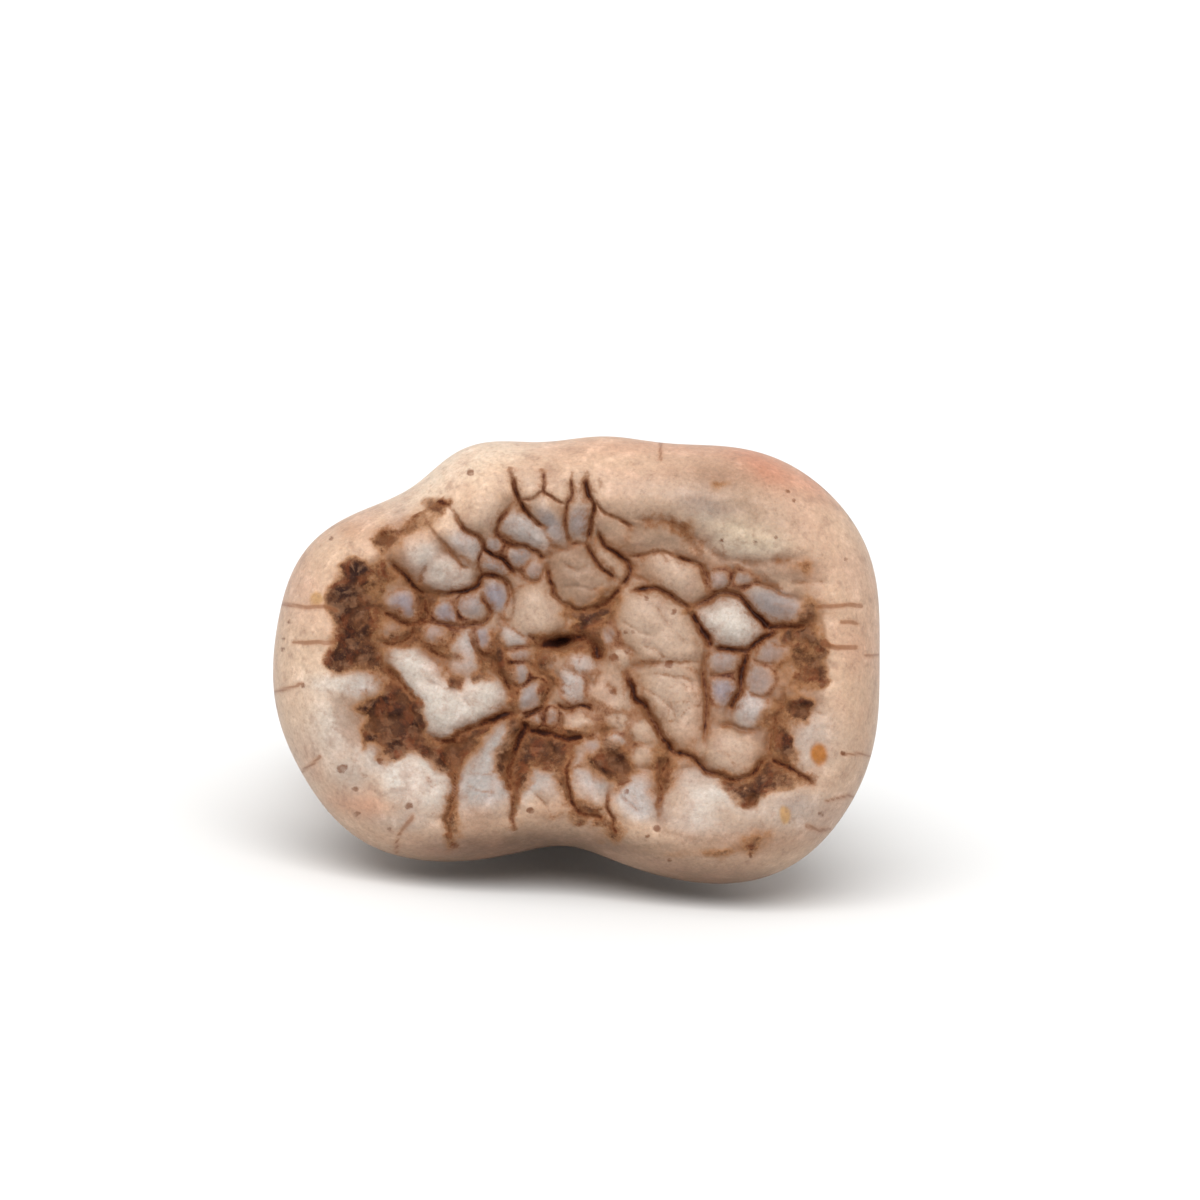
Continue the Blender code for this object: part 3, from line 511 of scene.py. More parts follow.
# Fainter lines and wrinkles, of one width and depth: darkness and points
WRINKLE_WIDTH = 0.16
WRINKLE_DEPTH = 0.1
WRINKLE_DARKNESS = 0.75
WRINKLES = [
    (0.5, [(1.6, 2.3), (1.3, 1.5), (1.5, 1.0), (2.0, 0.6), (2.6, 0.3)]),
    (0.35, [(1.9, 1.9), (2.3, 1.5), (2.9, 1.2), (3.4, 1.1)]),
    (0.35, [(2.9, 0.7), (3.5, 0.4), (4.0, 0.0)]),
    (0.35, [(3.4, 2.6), (3.9, 1.9), (4.5, 1.2), (4.9, 0.6)]),
    (0.55, [(2.1, -0.4), (3.0, -0.2), (3.7, -0.15), (4.2, -0.1), (4.8, 0.0), (5.5, 0.05)]),
    (0.35, [(3.3, -0.6), (4.3, -0.7), (5.0, -0.9), (5.2, -1.8)]),
    (0.35, [(2.9, -1.3), (3.5, -1.5), (4.2, -2.2), (4.4, -3.0)]),
    (0.5, [(0.3, -0.5), (0.7, -0.9), (0.9, -0.5), (0.9, 0.0)]),
    (0.5, [(1.2, -1.0), (1.6, -1.2), (1.6, -1.6)]),
    (0.5, [(2.4, -2.5), (2.0, -2.9), (1.6, -3.0), (1.1, -3.1)]),
    (0.6, [(2.2, -2.9), (2.4, -3.4), (2.5, -4.0), (2.2, -4.4)]),
    (0.45, [(2.5, -3.5), (3.0, -3.7), (3.5, -3.5)]),
    (0.4, [(1.7, -2.2), (1.8, -2.9)]),
    (0.45, [(2.5, -4.6), (3.1, -4.75), (3.6, -4.9)]),
    (0.4, [(4.0, -5.4), (4.6, -4.85), (5.3, -4.7)]),
    (0.55, [(8.4, 0.95), (9.0, 0.6), (9.6, 0.8)]),
    (0.5, [(9.9, -0.8), (9.3, -1.0), (9.0, -1.3), (9.0, -2.0)]),
    (0.45, [(9.8, -1.0), (10.2, -1.2), (10.7, -0.9)]),
    (0.4, [(10.4, -2.1), (10.9, -2.3)]),
    (0.35, [(11.0, -0.8), (11.6, -0.9)]),
    (0.45, [(1.0, 8.1), (1.1, 7.6)]),
    (0.4, [(3.8, 4.9), (4.1, 4.4)]),
    (0.6, [(2.4, 4.0), (2.7, 3.8), (3.2, 3.4)]),
    (0.55, [(-1.0, 5.0), (-0.6, 4.9), (-0.3, 5.1)]),
    (0.45, [(-1.2, 4.6), (-0.9, 4.8), (-0.4, 4.95), (0.0, 5.2)]),
    (0.6, [(-2.4, 3.9), (-2.1, 3.6), (-1.6, 3.6), (-1.2, 3.7)]),
    (0.6, [(-0.45, 2.5), (-0.4, 1.9), (-0.5, 1.4), (-1.0, 1.0), (-1.8, 1.0)]),
    (0.5, [(-2.75, 2.9), (-2.8, 2.2), (-3.0, 1.8), (-3.5, 1.8)]),
    (0.5, [(-3.4, 1.7), (-3.3, 1.3), (-3.4, 0.9)]),
    (0.6, [(-0.9, 0.2), (-1.1, -0.3), (-1.4, -0.7)]),
    (0.6, [(-0.9, -0.5), (-0.7, -0.9), (-0.8, -1.2), (-0.6, -1.4)]),
    (0.4, [(-0.6, -0.4), (0.0, -0.45), (0.6, -0.5)]),
    (0.4, [(-7.0, 1.0), (-6.4, 1.6), (-5.8, 1.4), (-5.3, 1.0)]),
    (0.35, [(-6.6, -0.9), (-6.0, -1.2), (-5.4, -1.3)]),
    (0.35, [(-5.0, -1.6), (-4.6, -2.0), (-4.5, -2.5)]),
    (0.6, [(-6.9, 3.5), (-6.8, 3.9), (-6.65, 4.25)]),
    (0.35, [(-0.6, 4.3), (0.0, 4.1), (0.6, 4.3)]),
    (0.35, [(-0.9, 3.3), (-0.2, 3.4), (0.6, 3.2), (1.2, 3.5)]),
    (0.35, [(-1.9, -5.8), (-1.3, -6.4), (-1.1, -7.2)]),
    (0.4, [(2.0, -5.5), (2.2, -6.0), (2.9, -6.6)]),
    (0.4, [(9.5, 3.4), (10.1, 3.5), (11.0, 3.5)]),
]

# Sunk places: u, v, half length, half width, depth
PITS = [
    (-0.65, 0.85, 0.55, 0.26, 1.1),
    (-8.4, 5.4, 0.45, 0.5, 0.5),
    (-6.3, 6.95, 0.8, 0.35, 0.4),
    (-9.8, 2.0, 1.0, 2.2, 0.4),
    (-8.4, -2.8, 1.1, 1.1, 0.45),
    (-5.4, -4.0, 0.9, 0.6, 0.4),
    (-1.3, -4.2, 1.1, 0.8, 0.45),
    (10.3, -0.3, 0.8, 0.7, 0.35),
    (9.8, -2.15, 0.6, 0.3, 0.3),
    (7.7, -6.2, 0.35, 0.3, 0.35),
    (1.6, -4.7, 0.6, 0.5, 0.35),
]

# Brown places: strength and the outline of each one
STAINS = [
    # back basin and its streak towards the cheek side
    (0.76, [(-10.7, 3.4), (-10.7, 2.4), (-10.6, 1.8), (-10.75, 1.1), (-10.85, 0.1), (-10.6, -0.45),
        (-10.2, -0.65), (-9.4, -0.5), (-8.8, -0.35), (-8.6, 0.2), (-8.7, 0.75), (-9.1, 1.2), (-9.2, 1.8),
        (-8.9, 2.4), (-8.6, 2.9), (-9.1, 3.2), (-9.5, 3.5), (-9.5, 4.2), (-9.9, 4.5), (-10.4, 4.2)]),
    (0.3, [(-9.5, 4.2), (-9.0, 4.7), (-8.4, 4.8), (-8.0, 4.2), (-7.4, 3.7), (-7.0, 3.3), (-7.0, 3.0),
        (-8.2, 3.4), (-8.6, 2.9), (-9.3, 3.3)]),
    (0.6, [(-8.8, -0.35), (-8.4, -0.1), (-7.9, -0.6), (-7.4, -1.3), (-6.9, -1.8), (-7.4, -1.9),
        (-8.2, -1.0)]),
    (0.75, [(-7.5, 3.6), (-7.0, 3.35), (-6.6, 3.1), (-6.1, 3.1), (-6.3, 2.7), (-6.6, 2.3), (-6.5, 1.9),
        (-6.9, 1.5), (-7.3, 1.0), (-7.6, 0.8), (-8.5, 0.75), (-8.4, 0.95), (-7.6, 1.1), (-7.2, 1.5),
        (-7.9, 1.9), (-7.2, 1.8), (-6.9, 2.2), (-6.9, 2.8)]),
    (0.34, [(-8.9, 5.9), (-8.4, 5.7), (-7.9, 5.55), (-7.3, 5.8), (-6.95, 6.4), (-6.6, 6.9), (-6.2, 7.1),
        (-5.6, 6.9), (-5.8, 6.4), (-6.3, 6.1), (-6.8, 5.6), (-7.6, 5.2), (-7.9, 4.7), (-8.3, 4.9),
        (-8.8, 5.1)]),
    (0.36, [(-9.2, 3.0), (-8.5, 3.2), (-8.4, 2.5), (-8.5, 1.9), (-8.6, 1.2), (-8.7, 0.5), (-8.4, -0.1),
        (-9.2, -0.4), (-9.4, 1.0)]),
    # back basin, cheek side
    (0.92, [(-9.5, -1.95), (-9.2, -1.65), (-8.6, -1.6), (-8.4, -1.1), (-8.1, -0.85), (-7.6, -0.95),
        (-7.3, -1.5), (-6.95, -1.9), (-6.9, -2.6), (-6.6, -2.75), (-6.7, -3.1), (-6.2, -3.4),
        (-5.6, -3.4), (-5.25, -3.1), (-4.9, -2.85), (-4.2, -2.75), (-3.6, -2.5), (-3.9, -2.9),
        (-4.25, -3.3), (-4.4, -3.9), (-4.5, -4.2), (-4.9, -4.5), (-5.25, -4.75), (-5.35, -5.0),
        (-5.55, -4.65), (-6.0, -4.45), (-6.4, -4.1), (-7.0, -3.95), (-7.5, -3.9), (-8.0, -4.1),
        (-8.5, -4.0), (-8.8, -3.6), (-9.4, -3.65), (-9.25, -3.0), (-9.2, -2.5)]),
    # cheek side basins
    (0.8, [(-2.9, -2.5), (-2.5, -2.2), (-2.2, -2.6), (-1.9, -2.95), (-1.2, -3.05), (-0.5, -3.15),
        (0.3, -3.1), (0.4, -3.35), (0.0, -3.6), (-0.15, -4.2), (-0.1, -4.8), (-0.25, -5.4), (-0.2, -5.9),
        (0.1, -6.3), (0.9, -6.65), (0.9, -6.95), (0.3, -7.2), (0.0, -6.8), (-0.4, -6.2), (-0.6, -5.5),
        (-0.9, -5.1), (-1.4, -4.85), (-1.75, -4.6), (-2.0, -5.0), (-2.3, -5.5), (-2.7, -5.8),
        (-2.9, -6.2), (-3.0, -5.6), (-3.3, -5.25), (-3.65, -5.0), (-3.5, -4.4), (-3.3, -3.8),
        (-3.2, -3.2)]),
    (0.75, [(0.25, -4.5), (0.6, -4.2), (1.1, -4.0), (1.15, -3.6), (1.0, -3.0), (1.4, -3.0), (1.25, -3.5),
        (1.6, -3.9), (2.0, -4.0), (2.3, -4.4), (2.5, -4.6), (2.2, -4.7), (2.2, -5.2), (1.95, -5.4),
        (1.6, -5.4), (1.5, -5.1), (1.0, -5.1), (0.9, -4.8), (0.5, -4.6)]),
    (0.45, [(2.9, -4.3), (3.4, -4.2), (3.9, -4.0), (4.2, -4.2), (4.9, -4.4), (4.6, -4.8), (4.2, -4.9),
        (4.3, -5.3), (3.9, -5.6), (3.3, -5.5), (3.2, -5.0), (3.5, -4.7), (3.2, -4.5)]),
    (0.5, [(-5.55, -5.5), (-5.35, -5.7), (-5.4, -6.4), (-5.5, -6.9), (-5.5, -7.4), (-5.35, -8.0),
        (-5.6, -8.1), (-5.7, -7.3), (-6.05, -6.9), (-5.8, -6.7), (-5.75, -6.2)]),
    (0.5, [(1.0, -7.1), (1.2, -7.3), (1.45, -7.0), (1.7, -7.1), (1.9, -7.5), (1.6, -7.7), (1.2, -7.6),
        (1.0, -7.5)]),
    # front basin and the places under it
    (0.5, [(10.1, 0.9), (10.4, 0.4), (10.6, 0.5), (11.0, 0.5), (11.05, 0.1), (10.9, -0.3), (10.8, -0.9),
        (10.5, -0.95), (10.2, -0.85), (9.8, -0.8), (9.7, -0.6), (10.1, -0.5), (9.9, 0.0), (10.0, 0.5)]),
    (0.45, [(8.4, -0.2), (8.7, 0.1), (9.1, 0.2), (9.5, 0.4), (9.8, 0.6), (9.7, 0.2), (9.3, 0.0),
        (9.1, -0.3), (8.8, -0.4)]),
    (0.8, [(9.0, 1.5), (9.8, 1.6), (10.1, 1.9), (10.3, 2.4), (10.5, 2.2), (10.45, 1.7), (10.2, 1.4),
        (10.1, 1.1), (9.6, 1.0), (9.4, 0.9), (8.9, 1.05)]),
    (0.5, [(9.3, -2.0), (9.8, -1.85), (10.3, -1.8), (10.4, -2.1), (10.1, -2.3), (9.9, -2.6), (9.4, -2.4),
        (9.0, -2.5), (9.1, -2.2)]),
    (0.55, [(8.8, -2.0), (8.9, -2.6), (8.7, -3.0), (9.2, -3.2), (9.4, -3.5), (9.4, -3.9), (9.6, -4.3),
        (9.4, -4.7), (8.9, -4.4), (8.5, -4.15), (8.3, -3.9), (8.5, -3.3), (7.9, -3.1), (8.3, -2.9),
        (8.5, -2.5)]),
    (0.65, [(6.5, -5.1), (7.0, -5.2), (7.5, -5.0), (8.0, -4.5), (8.3, -4.2), (8.6, -4.2), (8.9, -4.45),
        (9.3, -4.75), (9.9, -5.1), (10.3, -5.35), (9.8, -5.3), (9.3, -5.4), (8.9, -5.7), (8.4, -5.7),
        (8.1, -6.1), (8.0, -6.4), (7.6, -6.3), (7.4, -6.0), (6.9, -6.2), (6.6, -5.8), (7.2, -5.5),
        (6.7, -5.5)]),
    # middle
    (0.65, [(-1.9, 0.9), (-1.4, 0.9), (-0.6, 1.1), (0.1, 1.3), (0.4, 2.0), (-0.3, 2.5), (-0.4, 2.7),
        (0.0, 2.55), (0.6, 2.5), (1.3, 2.9), (1.9, 3.3), (2.1, 3.0), (1.6, 2.4), (1.0, 2.0), (1.3, 1.4),
        (0.9, 1.2), (0.7, 1.0), (0.9, 0.6), (0.8, 0.1), (0.6, 0.4), (0.2, 0.4), (-0.4, 0.3), (-0.9, 0.4),
        (-1.0, 0.0), (-1.2, -0.4), (-1.1, -1.0), (-1.5, -1.9), (-1.6, -1.6), (-1.4, -1.0), (-1.4, -0.6),
        (-1.8, -0.3), (-1.7, 0.3)]),
    (0.7, [(-3.6, 0.9), (-3.3, 0.6), (-3.0, 0.0), (-3.1, -0.5), (-2.9, -1.0), (-2.6, -1.4), (-2.5, -2.0),
        (-2.3, -2.4), (-2.7, -2.3), (-2.9, -1.5), (-3.3, -0.9), (-3.6, -0.3), (-4.1, 0.1), (-4.2, -0.4),
        (-4.1, -0.8), (-4.35, -0.9), (-4.4, -0.3), (-4.4, 0.4), (-3.9, 0.4)]),
    (0.5, [(-6.2, -0.1), (-5.8, -0.2), (-5.9, -0.5), (-5.4, -0.5), (-4.9, -0.6), (-4.85, -0.95),
        (-5.1, -1.2), (-5.35, -0.9), (-5.6, -0.7), (-6.1, -0.6)]),
    (0.5, [(-7.0, 0.95), (-6.5, 0.7), (-6.1, 0.35), (-5.6, 0.1), (-5.4, 0.2), (-5.7, 0.6), (-5.3, 0.9),
        (-5.1, 1.2), (-5.7, 1.3), (-5.8, 0.9), (-6.3, 0.8), (-6.8, 1.05)]),
]
STAIN_EDGE = 0.55
STAIN_WANDER = 0.28

# The darkest places in the brown: u, v, half length, half width, strength
DARK_PLACES = [
    (-10.3, 3.1, 0.5, 0.4, 0.5), (-10.1, 2.2, 0.6, 0.3, 0.35), (-9.9, 1.2, 0.7, 0.5, 0.6),
    (-9.9, 4.25, 0.6, 0.35, 0.85), (-9.3, 0.2, 0.5, 0.4, 0.3), (-10.5, 0.1, 0.3, 0.5, 0.4),
    (-8.9, 2.4, 0.35, 0.25, 0.3), (-8.6, 5.5, 0.4, 0.45, 0.4), (-8.6, 5.6, 0.9, 0.9, 0.15),
    (-5.9, 6.9, 0.45, 0.3, 0.4), (-6.4, 6.95, 0.5, 0.3, 0.35), (-6.9, 5.8, 0.9, 0.7, 0.16),
    (6.25, 7.85, 0.3, 0.22, 0.4), (6.4, 7.85, 0.7, 0.5, 0.12), (7.7, 7.0, 0.8, 0.6, 0.1),
    (10.1, 2.6, 0.4, 0.9, 0.2), (10.3, 1.0, 0.7, 0.4, 0.6), (10.0, 4.1, 0.5, 0.5, 0.3),
    (11.2, 2.4, 1.2, 0.15, 0.2), (11.2, 0.75, 1.0, 0.2, 0.35), (11.0, 1.9, 1.0, 0.25, 0.16),
    (9.9, 3.9, 0.6, 0.7, 0.1), (4.7, 5.85, 0.6, 0.35, 0.3), (3.5, 6.0, 1.4, 0.4, 0.22),
    (-0.8, -0.8, 2.2, 1.6, 0.1), (1.4, -0.5, 1.0, 1.0, 0.1), (-3.3, 0.2, 0.8, 1.4, 0.2),
    (1.2, -3.4, 1.6, 1.0, 0.12), (2.9, -3.3, 1.0, 1.0, 0.08), (3.6, -5.2, 0.6, 1.2, 0.2),
    (6.2, -5.4, 1.6, 0.5, 0.2), (9.2, -3.4, 0.8, 1.6, 0.25), (9.6, -0.8, 1.0, 1.6, 0.22),
    (-5.2, 0.2, 1.2, 0.8, 0.2), (-7.0, 1.4, 1.2, 1.0, 0.2), (-8.7, 3.6, 0.9, 0.9, 0.25),
    (0.9, 2.4, 1.0, 0.6, 0.25), (5.0, -3.9, 0.6, 0.6, 0.2), (6.4, -0.7, 0.6, 1.2, 0.15),
    (8.9, 0.9, 0.9, 0.4, 0.2), (-0.9, -6.9, 0.8, 0.4, 0.25), (1.3, -7.2, 1.0, 0.4, 0.3),
    (1.5, -6.0, 0.3, 1.0, 0.2), (-5.5, -7.2, 0.4, 1.0, 0.3), (0.5, 1.3, 1.2, 1.0, 0.2),
    (7.7, -8.2, 0.9, 0.5, 0.55), (6.2, -8.45, 0.6, 0.3, 0.5), (8.2, -7.7, 0.5, 0.3, 0.4),
    (4.5, -8.4, 1.0, 0.3, 0.2), (-10.4, -5.6, 0.8, 1.0, 0.08), (-8.6, -2.0, 1.0, 0.35, 0.7),
    (-8.3, -2.2, 0.35, 0.4, 0.6), (-8.6, -3.2, 0.7, 0.4, 0.6), (-9.3, -3.5, 0.25, 0.25, 0.5),
    (-6.9, -2.8, 0.35, 0.35, 0.5), (-5.0, -3.1, 0.5, 0.25, 0.5), (-4.3, -2.85, 0.5, 0.15, 0.5),
    (-5.4, -3.9, 0.3, 0.3, 0.3), (-8.3, -0.5, 0.3, 0.25, 0.4), (-2.4, -3.0, 0.5, 0.35, 0.8),
    (-0.6, -3.35, 0.7, 0.2, 0.6), (-3.3, -4.6, 0.3, 0.5, 0.5), (-0.25, -5.3, 0.15, 0.5, 0.5),
    (-1.0, -3.9, 0.25, 0.2, 0.3), (1.3, -4.8, 0.4, 0.25, 0.5), (1.8, -4.5, 0.3, 0.3, 0.4),
    (-0.65, 0.8, 0.6, 0.28, 1.0), (0.6, 0.8, 0.35, 0.3, 0.4), (0.5, 2.1, 0.5, 0.3, 0.4),
    (7.7, -6.05, 0.4, 0.25, 0.7), (7.95, -5.2, 0.3, 0.5, 0.5), (6.85, -5.3, 0.3, 0.2, 0.4),
    (9.2, -3.6, 0.25, 0.35, 0.6), (9.2, -4.5, 0.3, 0.25, 0.5), (9.8, -2.15, 0.7, 0.25, 0.5),
    (10.7, -0.5, 0.25, 0.4, 0.4), (10.9, 0.3, 0.2, 0.25, 0.4), (9.7, 1.35, 0.7, 0.25, 0.7),
    (4.95, 2.3, 0.35, 0.3, 0.8), (-6.7, 2.7, 0.25, 0.5, 0.6), (-7.1, 1.5, 0.35, 0.3, 0.6),
    (-5.15, -0.85, 0.3, 0.25, 0.5), (-4.25, -0.6, 0.12, 0.35, 0.5), (-8.4, 1.8, 0.5, 0.6, 0.25),
    (-7.2, 5.9, 0.5, 0.4, 0.3), (-8.7, 0.2, 0.4, 0.4, 0.3), (-10.5, 2.0, 0.4, 0.6, 0.3),
    (-11.1, 1.6, 0.4, 0.7, 0.12), (9.9, 0.2, 0.5, 0.5, 0.2), (6.9, -5.6, 0.4, 0.3, 0.3),
    (3.6, -4.8, 0.35, 0.5, 0.4), (-0.2, 2.2, 0.6, 0.35, 0.25), (-1.3, -0.9, 0.3, 0.5, 0.25),
    (-2.2, -4.2, 0.5, 0.6, 0.35), (0.9, 2.0, 0.5, 0.4, 0.2),
]

# Thin brown cracks in the enamel: half width and the points that each one runs through
CRACKS = [
    (0.05, [(-13.2, 2.55), (-12.0, 2.5), (-11.0, 2.45), (-10.5, 2.3)]),
    (0.06, [(-12.5, 0.85), (-11.7, 0.84), (-11.0, 0.88), (-10.7, 0.9)]),
    (0.05, [(-13.5, -1.4), (-13.1, -1.15), (-12.7, -1.15), (-12.2, -1.1)]),
    (0.05, [(-12.2, -4.9), (-11.8, -4.6), (-11.3, -4.2)]),
    (0.05, [(-8.0, -8.4), (-7.8, -7.7), (-7.5, -7.2), (-7.2, -6.8)]),
    (0.06, [(12.6, 2.5), (11.8, 2.5), (11.2, 2.45), (10.5, 2.4)]),
    (0.05, [(12.4, 1.75), (12.0, 1.8), (11.7, 1.8)]),
    (0.1, [(12.3, 0.65), (11.9, 0.65), (11.4, 0.6), (10.8, 0.8)]),
    (0.05, [(13.4, 0.25), (13.1, 0.2), (12.8, 0.2)]),
    (0.05, [(13.1, -4.1), (12.4, -4.05), (11.7, -4.05)]),
    (0.05, [(11.2, -7.45), (10.6, -7.4), (10.2, -7.2)]),
    (0.04, [(12.3, -6.1), (11.6, -6.1), (11.0, -6.2)]),
    (0.04, [(3.8, 9.6), (3.75, 9.0)]),
]
CRACK_REACH = 0.3

# Small dark specks: u, v, radius
SPECKS = [
    (-4.7, 8.35, 0.15), (-10.85, 5.4, 0.08), (-12.95, 1.0, 0.07), (-12.95, 0.5, 0.07), (-12.7, 1.8, 0.07),
    (-12.15, -1.2, 0.08), (-10.3, -4.7, 0.18), (-9.85, -5.6, 0.09), (-8.7, -4.35, 0.12),
    (-7.4, -6.35, 0.15), (-8.25, -7.35, 0.09), (-9.7, -6.8, 0.14), (-5.45, -8.1, 0.17),
    (-2.05, -6.6, 0.13), (2.25, -5.7, 0.1), (1.55, -1.35, 0.1), (1.6, 0.1, 0.17), (2.2, 0.4, 0.1),
    (4.1, -0.2, 0.17), (4.3, 2.2, 0.1), (3.0, 2.8, 0.09), (2.1, 1.25, 0.09), (2.45, 1.25, 0.08),
    (6.4, 5.35, 0.07), (7.8, 5.2, 0.07), (8.7, 5.5, 0.07), (9.5, 7.1, 0.07), (9.25, 7.5, 0.07),
    (11.9, 4.6, 0.08), (3.5, -7.35, 0.12), (3.1, -7.7, 0.08), (7.6, -8.6, 0.08), (4.1, -8.8, 0.08),
    (10.8, -6.8, 0.1), (11.7, -4.0, 0.07),
]
SPECK_REACH = 0.3

# Spots of another tone with a clear edge: u, v, half length, half width, tone
SPOTS = [
    (10.72, -4.12, 0.34, 0.5, "ochre"),
    (9.15, -6.75, 0.25, 0.35, "amber"),
    (-11.5, 2.8, 0.35, 0.25, "amber"),
]

# Places where the enamel has another tone, and places of painted light and shade: u, v, half length, half
# width, turn, tone, strength
PATCHES = [
    # painted light on the top and left of the rim, over a paler tone
    (-6.0, 8.3, 3.0, 1.0, 25, "pale", 0.9),
    (-11.5, -2.5, 1.8, 3.5, 0, "pale", 0.4),
    (8.4, 8.5, 1.7, 0.8, -25, "salmon", 0.9),
    (6.0, 9.4, 4.0, 0.5, -5, "salmon", 0.35),
    (1.0, 9.5, 3.5, 0.5, 0, "salmon", 0.2),
    (10.5, 7.9, 1.2, 0.6, -45, "salmon", 0.5),
    (3.6, 7.8, 2.4, 1.0, -5, "salmon", 0.12),
    # painted light: a lighter tone on the slope that tilts away from the light
    (7.4, 5.8, 2.6, 1.3, -28, "olive", 0.8),
    (7.6, 7.0, 0.8, 0.6, 0, "dusk", 0.45),
    (9.5, 6.3, 1.5, 0.9, -40, "pink", 0.4),
    (12.4, -2.0, 1.0, 3.5, 0, "dusk", 0.2),
    (12.2, 4.0, 0.8, 1.5, 20, "pink", 0.35),
    (12.4, 0.6, 0.8, 1.2, 0, "salmon", 0.25),
    (-12.2, 3.0, 1.0, 1.4, 0, "pink", 0.35),
    (-9.7, 6.2, 1.2, 0.6, 35, "pink", 0.35),
    (-10.5, -3.2, 0.9, 1.3, 20, "milk", 0.5),
    (-10.7, -0.95, 1.2, 0.45, 5, "ivory", 0.7),
    (-7.8, 6.45, 0.5, 0.75, -20, "mauve", 0.4),
    # painted light on the top of the rim
    (-3.6, 9.3, 2.4, 0.5, 5, "pale", 0.6),
    (-5.5, -8.2, 1.6, 0.6, 0, "pink", 0.5),
    (-11.9, -4.2, 0.9, 1.2, 20, "pink", 0.3),
    (11.2, -7.0, 1.3, 0.8, 45, "pink", 0.35),
    (3.7, 5.9, 1.9, 0.6, -12, "dun", 0.9),
    (8.2, 4.1, 2.0, 0.4, -5, "dusk", 0.5),
    (10.1, 3.7, 0.8, 0.9, 0, "dusk", 0.4),
    (10.9, 2.0, 1.1, 0.9, 0, "dusk", 0.35),
    (9.6, -0.6, 1.2, 1.6, 0, "dusk", 0.5),
    (10.3, -3.5, 1.3, 1.6, 0, "milk", 0.5),
    (9.6, -6.6, 1.6, 0.9, 0, "milk", 0.4),
    (7.5, -7.0, 3.0, 0.9, 10, "milk", 0.3),
    (-10.0, 5.85, 0.6, 0.45, 0, "ochre", 0.25),
    (-9.2, -6.4, 0.9, 0.7, 0, "salmon", 0.4),
    # painted shade along the bottom of the crown
    (-3.0, -8.6, 4.0, 0.7, 5, "shade", 0.75),
    (5.5, -9.7, 4.5, 0.9, -3, "shade", 0.7),
    (-10.4, -6.2, 0.9, 0.6, 0, "salmon", 0.3),
    (-2.1, 8.0, 0.6, 0.9, 0, "cream", 0.6),
    (-0.9, 7.9, 0.6, 0.9, 0, "tan", 0.6),
    (0.1, 7.8, 0.5, 0.9, 0, "tan", 0.5),
    (6.2, 8.1, 2.0, 0.8, -8, "dusk", 1.0),
    (7.6, 6.8, 2.2, 0.8, -20, "tan", 0.9),
    (3.0, 7.5, 2.2, 0.9, 0, "cream", 0.7),
    (5.6, 6.9, 1.4, 0.6, -10, "mauve", 0.5),
    (10.0, 4.2, 1.1, 0.8, 0, "dusk", 0.8),
    (8.8, 4.3, 1.6, 0.4, 0, "dusk", 0.4),
    # painted shade along the bottom of the crown and its lowest lobes, in the shade and dusk tones
    (1.0, -8.2, 3.6, 0.6, -3, "shade", 0.6),
    (-3.6, -8.0, 3.4, 0.6, 4, "shade", 0.75),
    (7.5, -8.0, 2.6, 0.7, 4, "dusk", 0.8),
    (-4.3, -6.9, 1.1, 0.6, 0, "dusk", 0.6),
    (-1.3, -6.9, 1.1, 0.6, 0, "dusk", 0.5),
    (0.7, -6.4, 0.5, 0.7, 0, "mauve", 0.4),
    (4.4, -6.2, 0.6, 1.0, 0, "tan", 0.8),
    (6.7, -6.8, 1.2, 0.6, 0, "tan", 0.8),
    (9.6, -6.2, 0.9, 0.6, 0, "mauve", 0.4),
    (-11.5, 0.9, 0.8, 0.5, 0, "tan", 0.5),
    (-10.9, -2.9, 1.1, 1.7, 15, "ivory", 0.5),
    (-9.9, -5.0, 0.9, 0.8, 0, "milk", 0.5),
    (-7.4, -7.0, 1.6, 0.5, 0, "milk", 0.5),
    (1.45, -0.45, 0.5, 0.9, 20, "dun", 0.7),
]


def linear(colour):
    """A colour given from 0 to 255, as the renderer counts it."""
    part = np.array(colour) / 255.0
    return ALBEDO * np.where(part <= 0.04045, part / 12.92, ((part + 0.055) / 1.055) ** 2.4)


def smooth_step(low, high, value):
    """Rises from 0 at low to 1 at high, level at both ends."""
    part = np.clip((value - low) / (high - low), 0.0, 1.0)
    return part * part * (3.0 - 2.0 * part)


def from_outline(kind, inset):
    """How far a kind of relief or colour has come in, at a distance in from the outline."""
    return smooth_step(*INSETS[kind], inset)


def on_table(u, v):
    """Places on the chewing surface as points, for the noise."""
    return np.stack([u, v, np.zeros_like(u)], axis=-1)


def scatter(cell, seed):
    """A random value from -1 to 1 for each cell of a grid."""
    table = np.random.default_rng(seed).uniform(-1.0, 1.0, 4096)
    index = (cell[:, 0] * 73856093) ^ (cell[:, 1] * 19349663) ^ (cell[:, 2] * 83492791)
    return table[index & 4095]


def soft_noise(points, size, seed):
    """Smooth random values from -1 to 1, with lumps of the given size."""
    cell = np.floor(points / size).astype(np.int64)
    part = points / size - cell
    part = part * part * (3.0 - 2.0 * part)
    total = np.zeros(len(points))
    for corner in range(8):
        step = np.array([corner & 1, (corner >> 1) & 1, corner >> 2])
        weight = np.prod(np.where(step == 1, part, 1.0 - part), axis=1)
        total += weight * scatter(cell + step, seed)
    return total


def roughness(points, kind, layers=3):
    """Random values about 0 of a named kind, with finer and finer lumps on the first ones."""
    size, seed = ROUGHNESS[kind]
    total = np.zeros(len(points))
    for layer in range(layers):
        total += 0.5 ** layer * soft_noise(points, size * 0.5 ** layer, seed + layer)
    return total


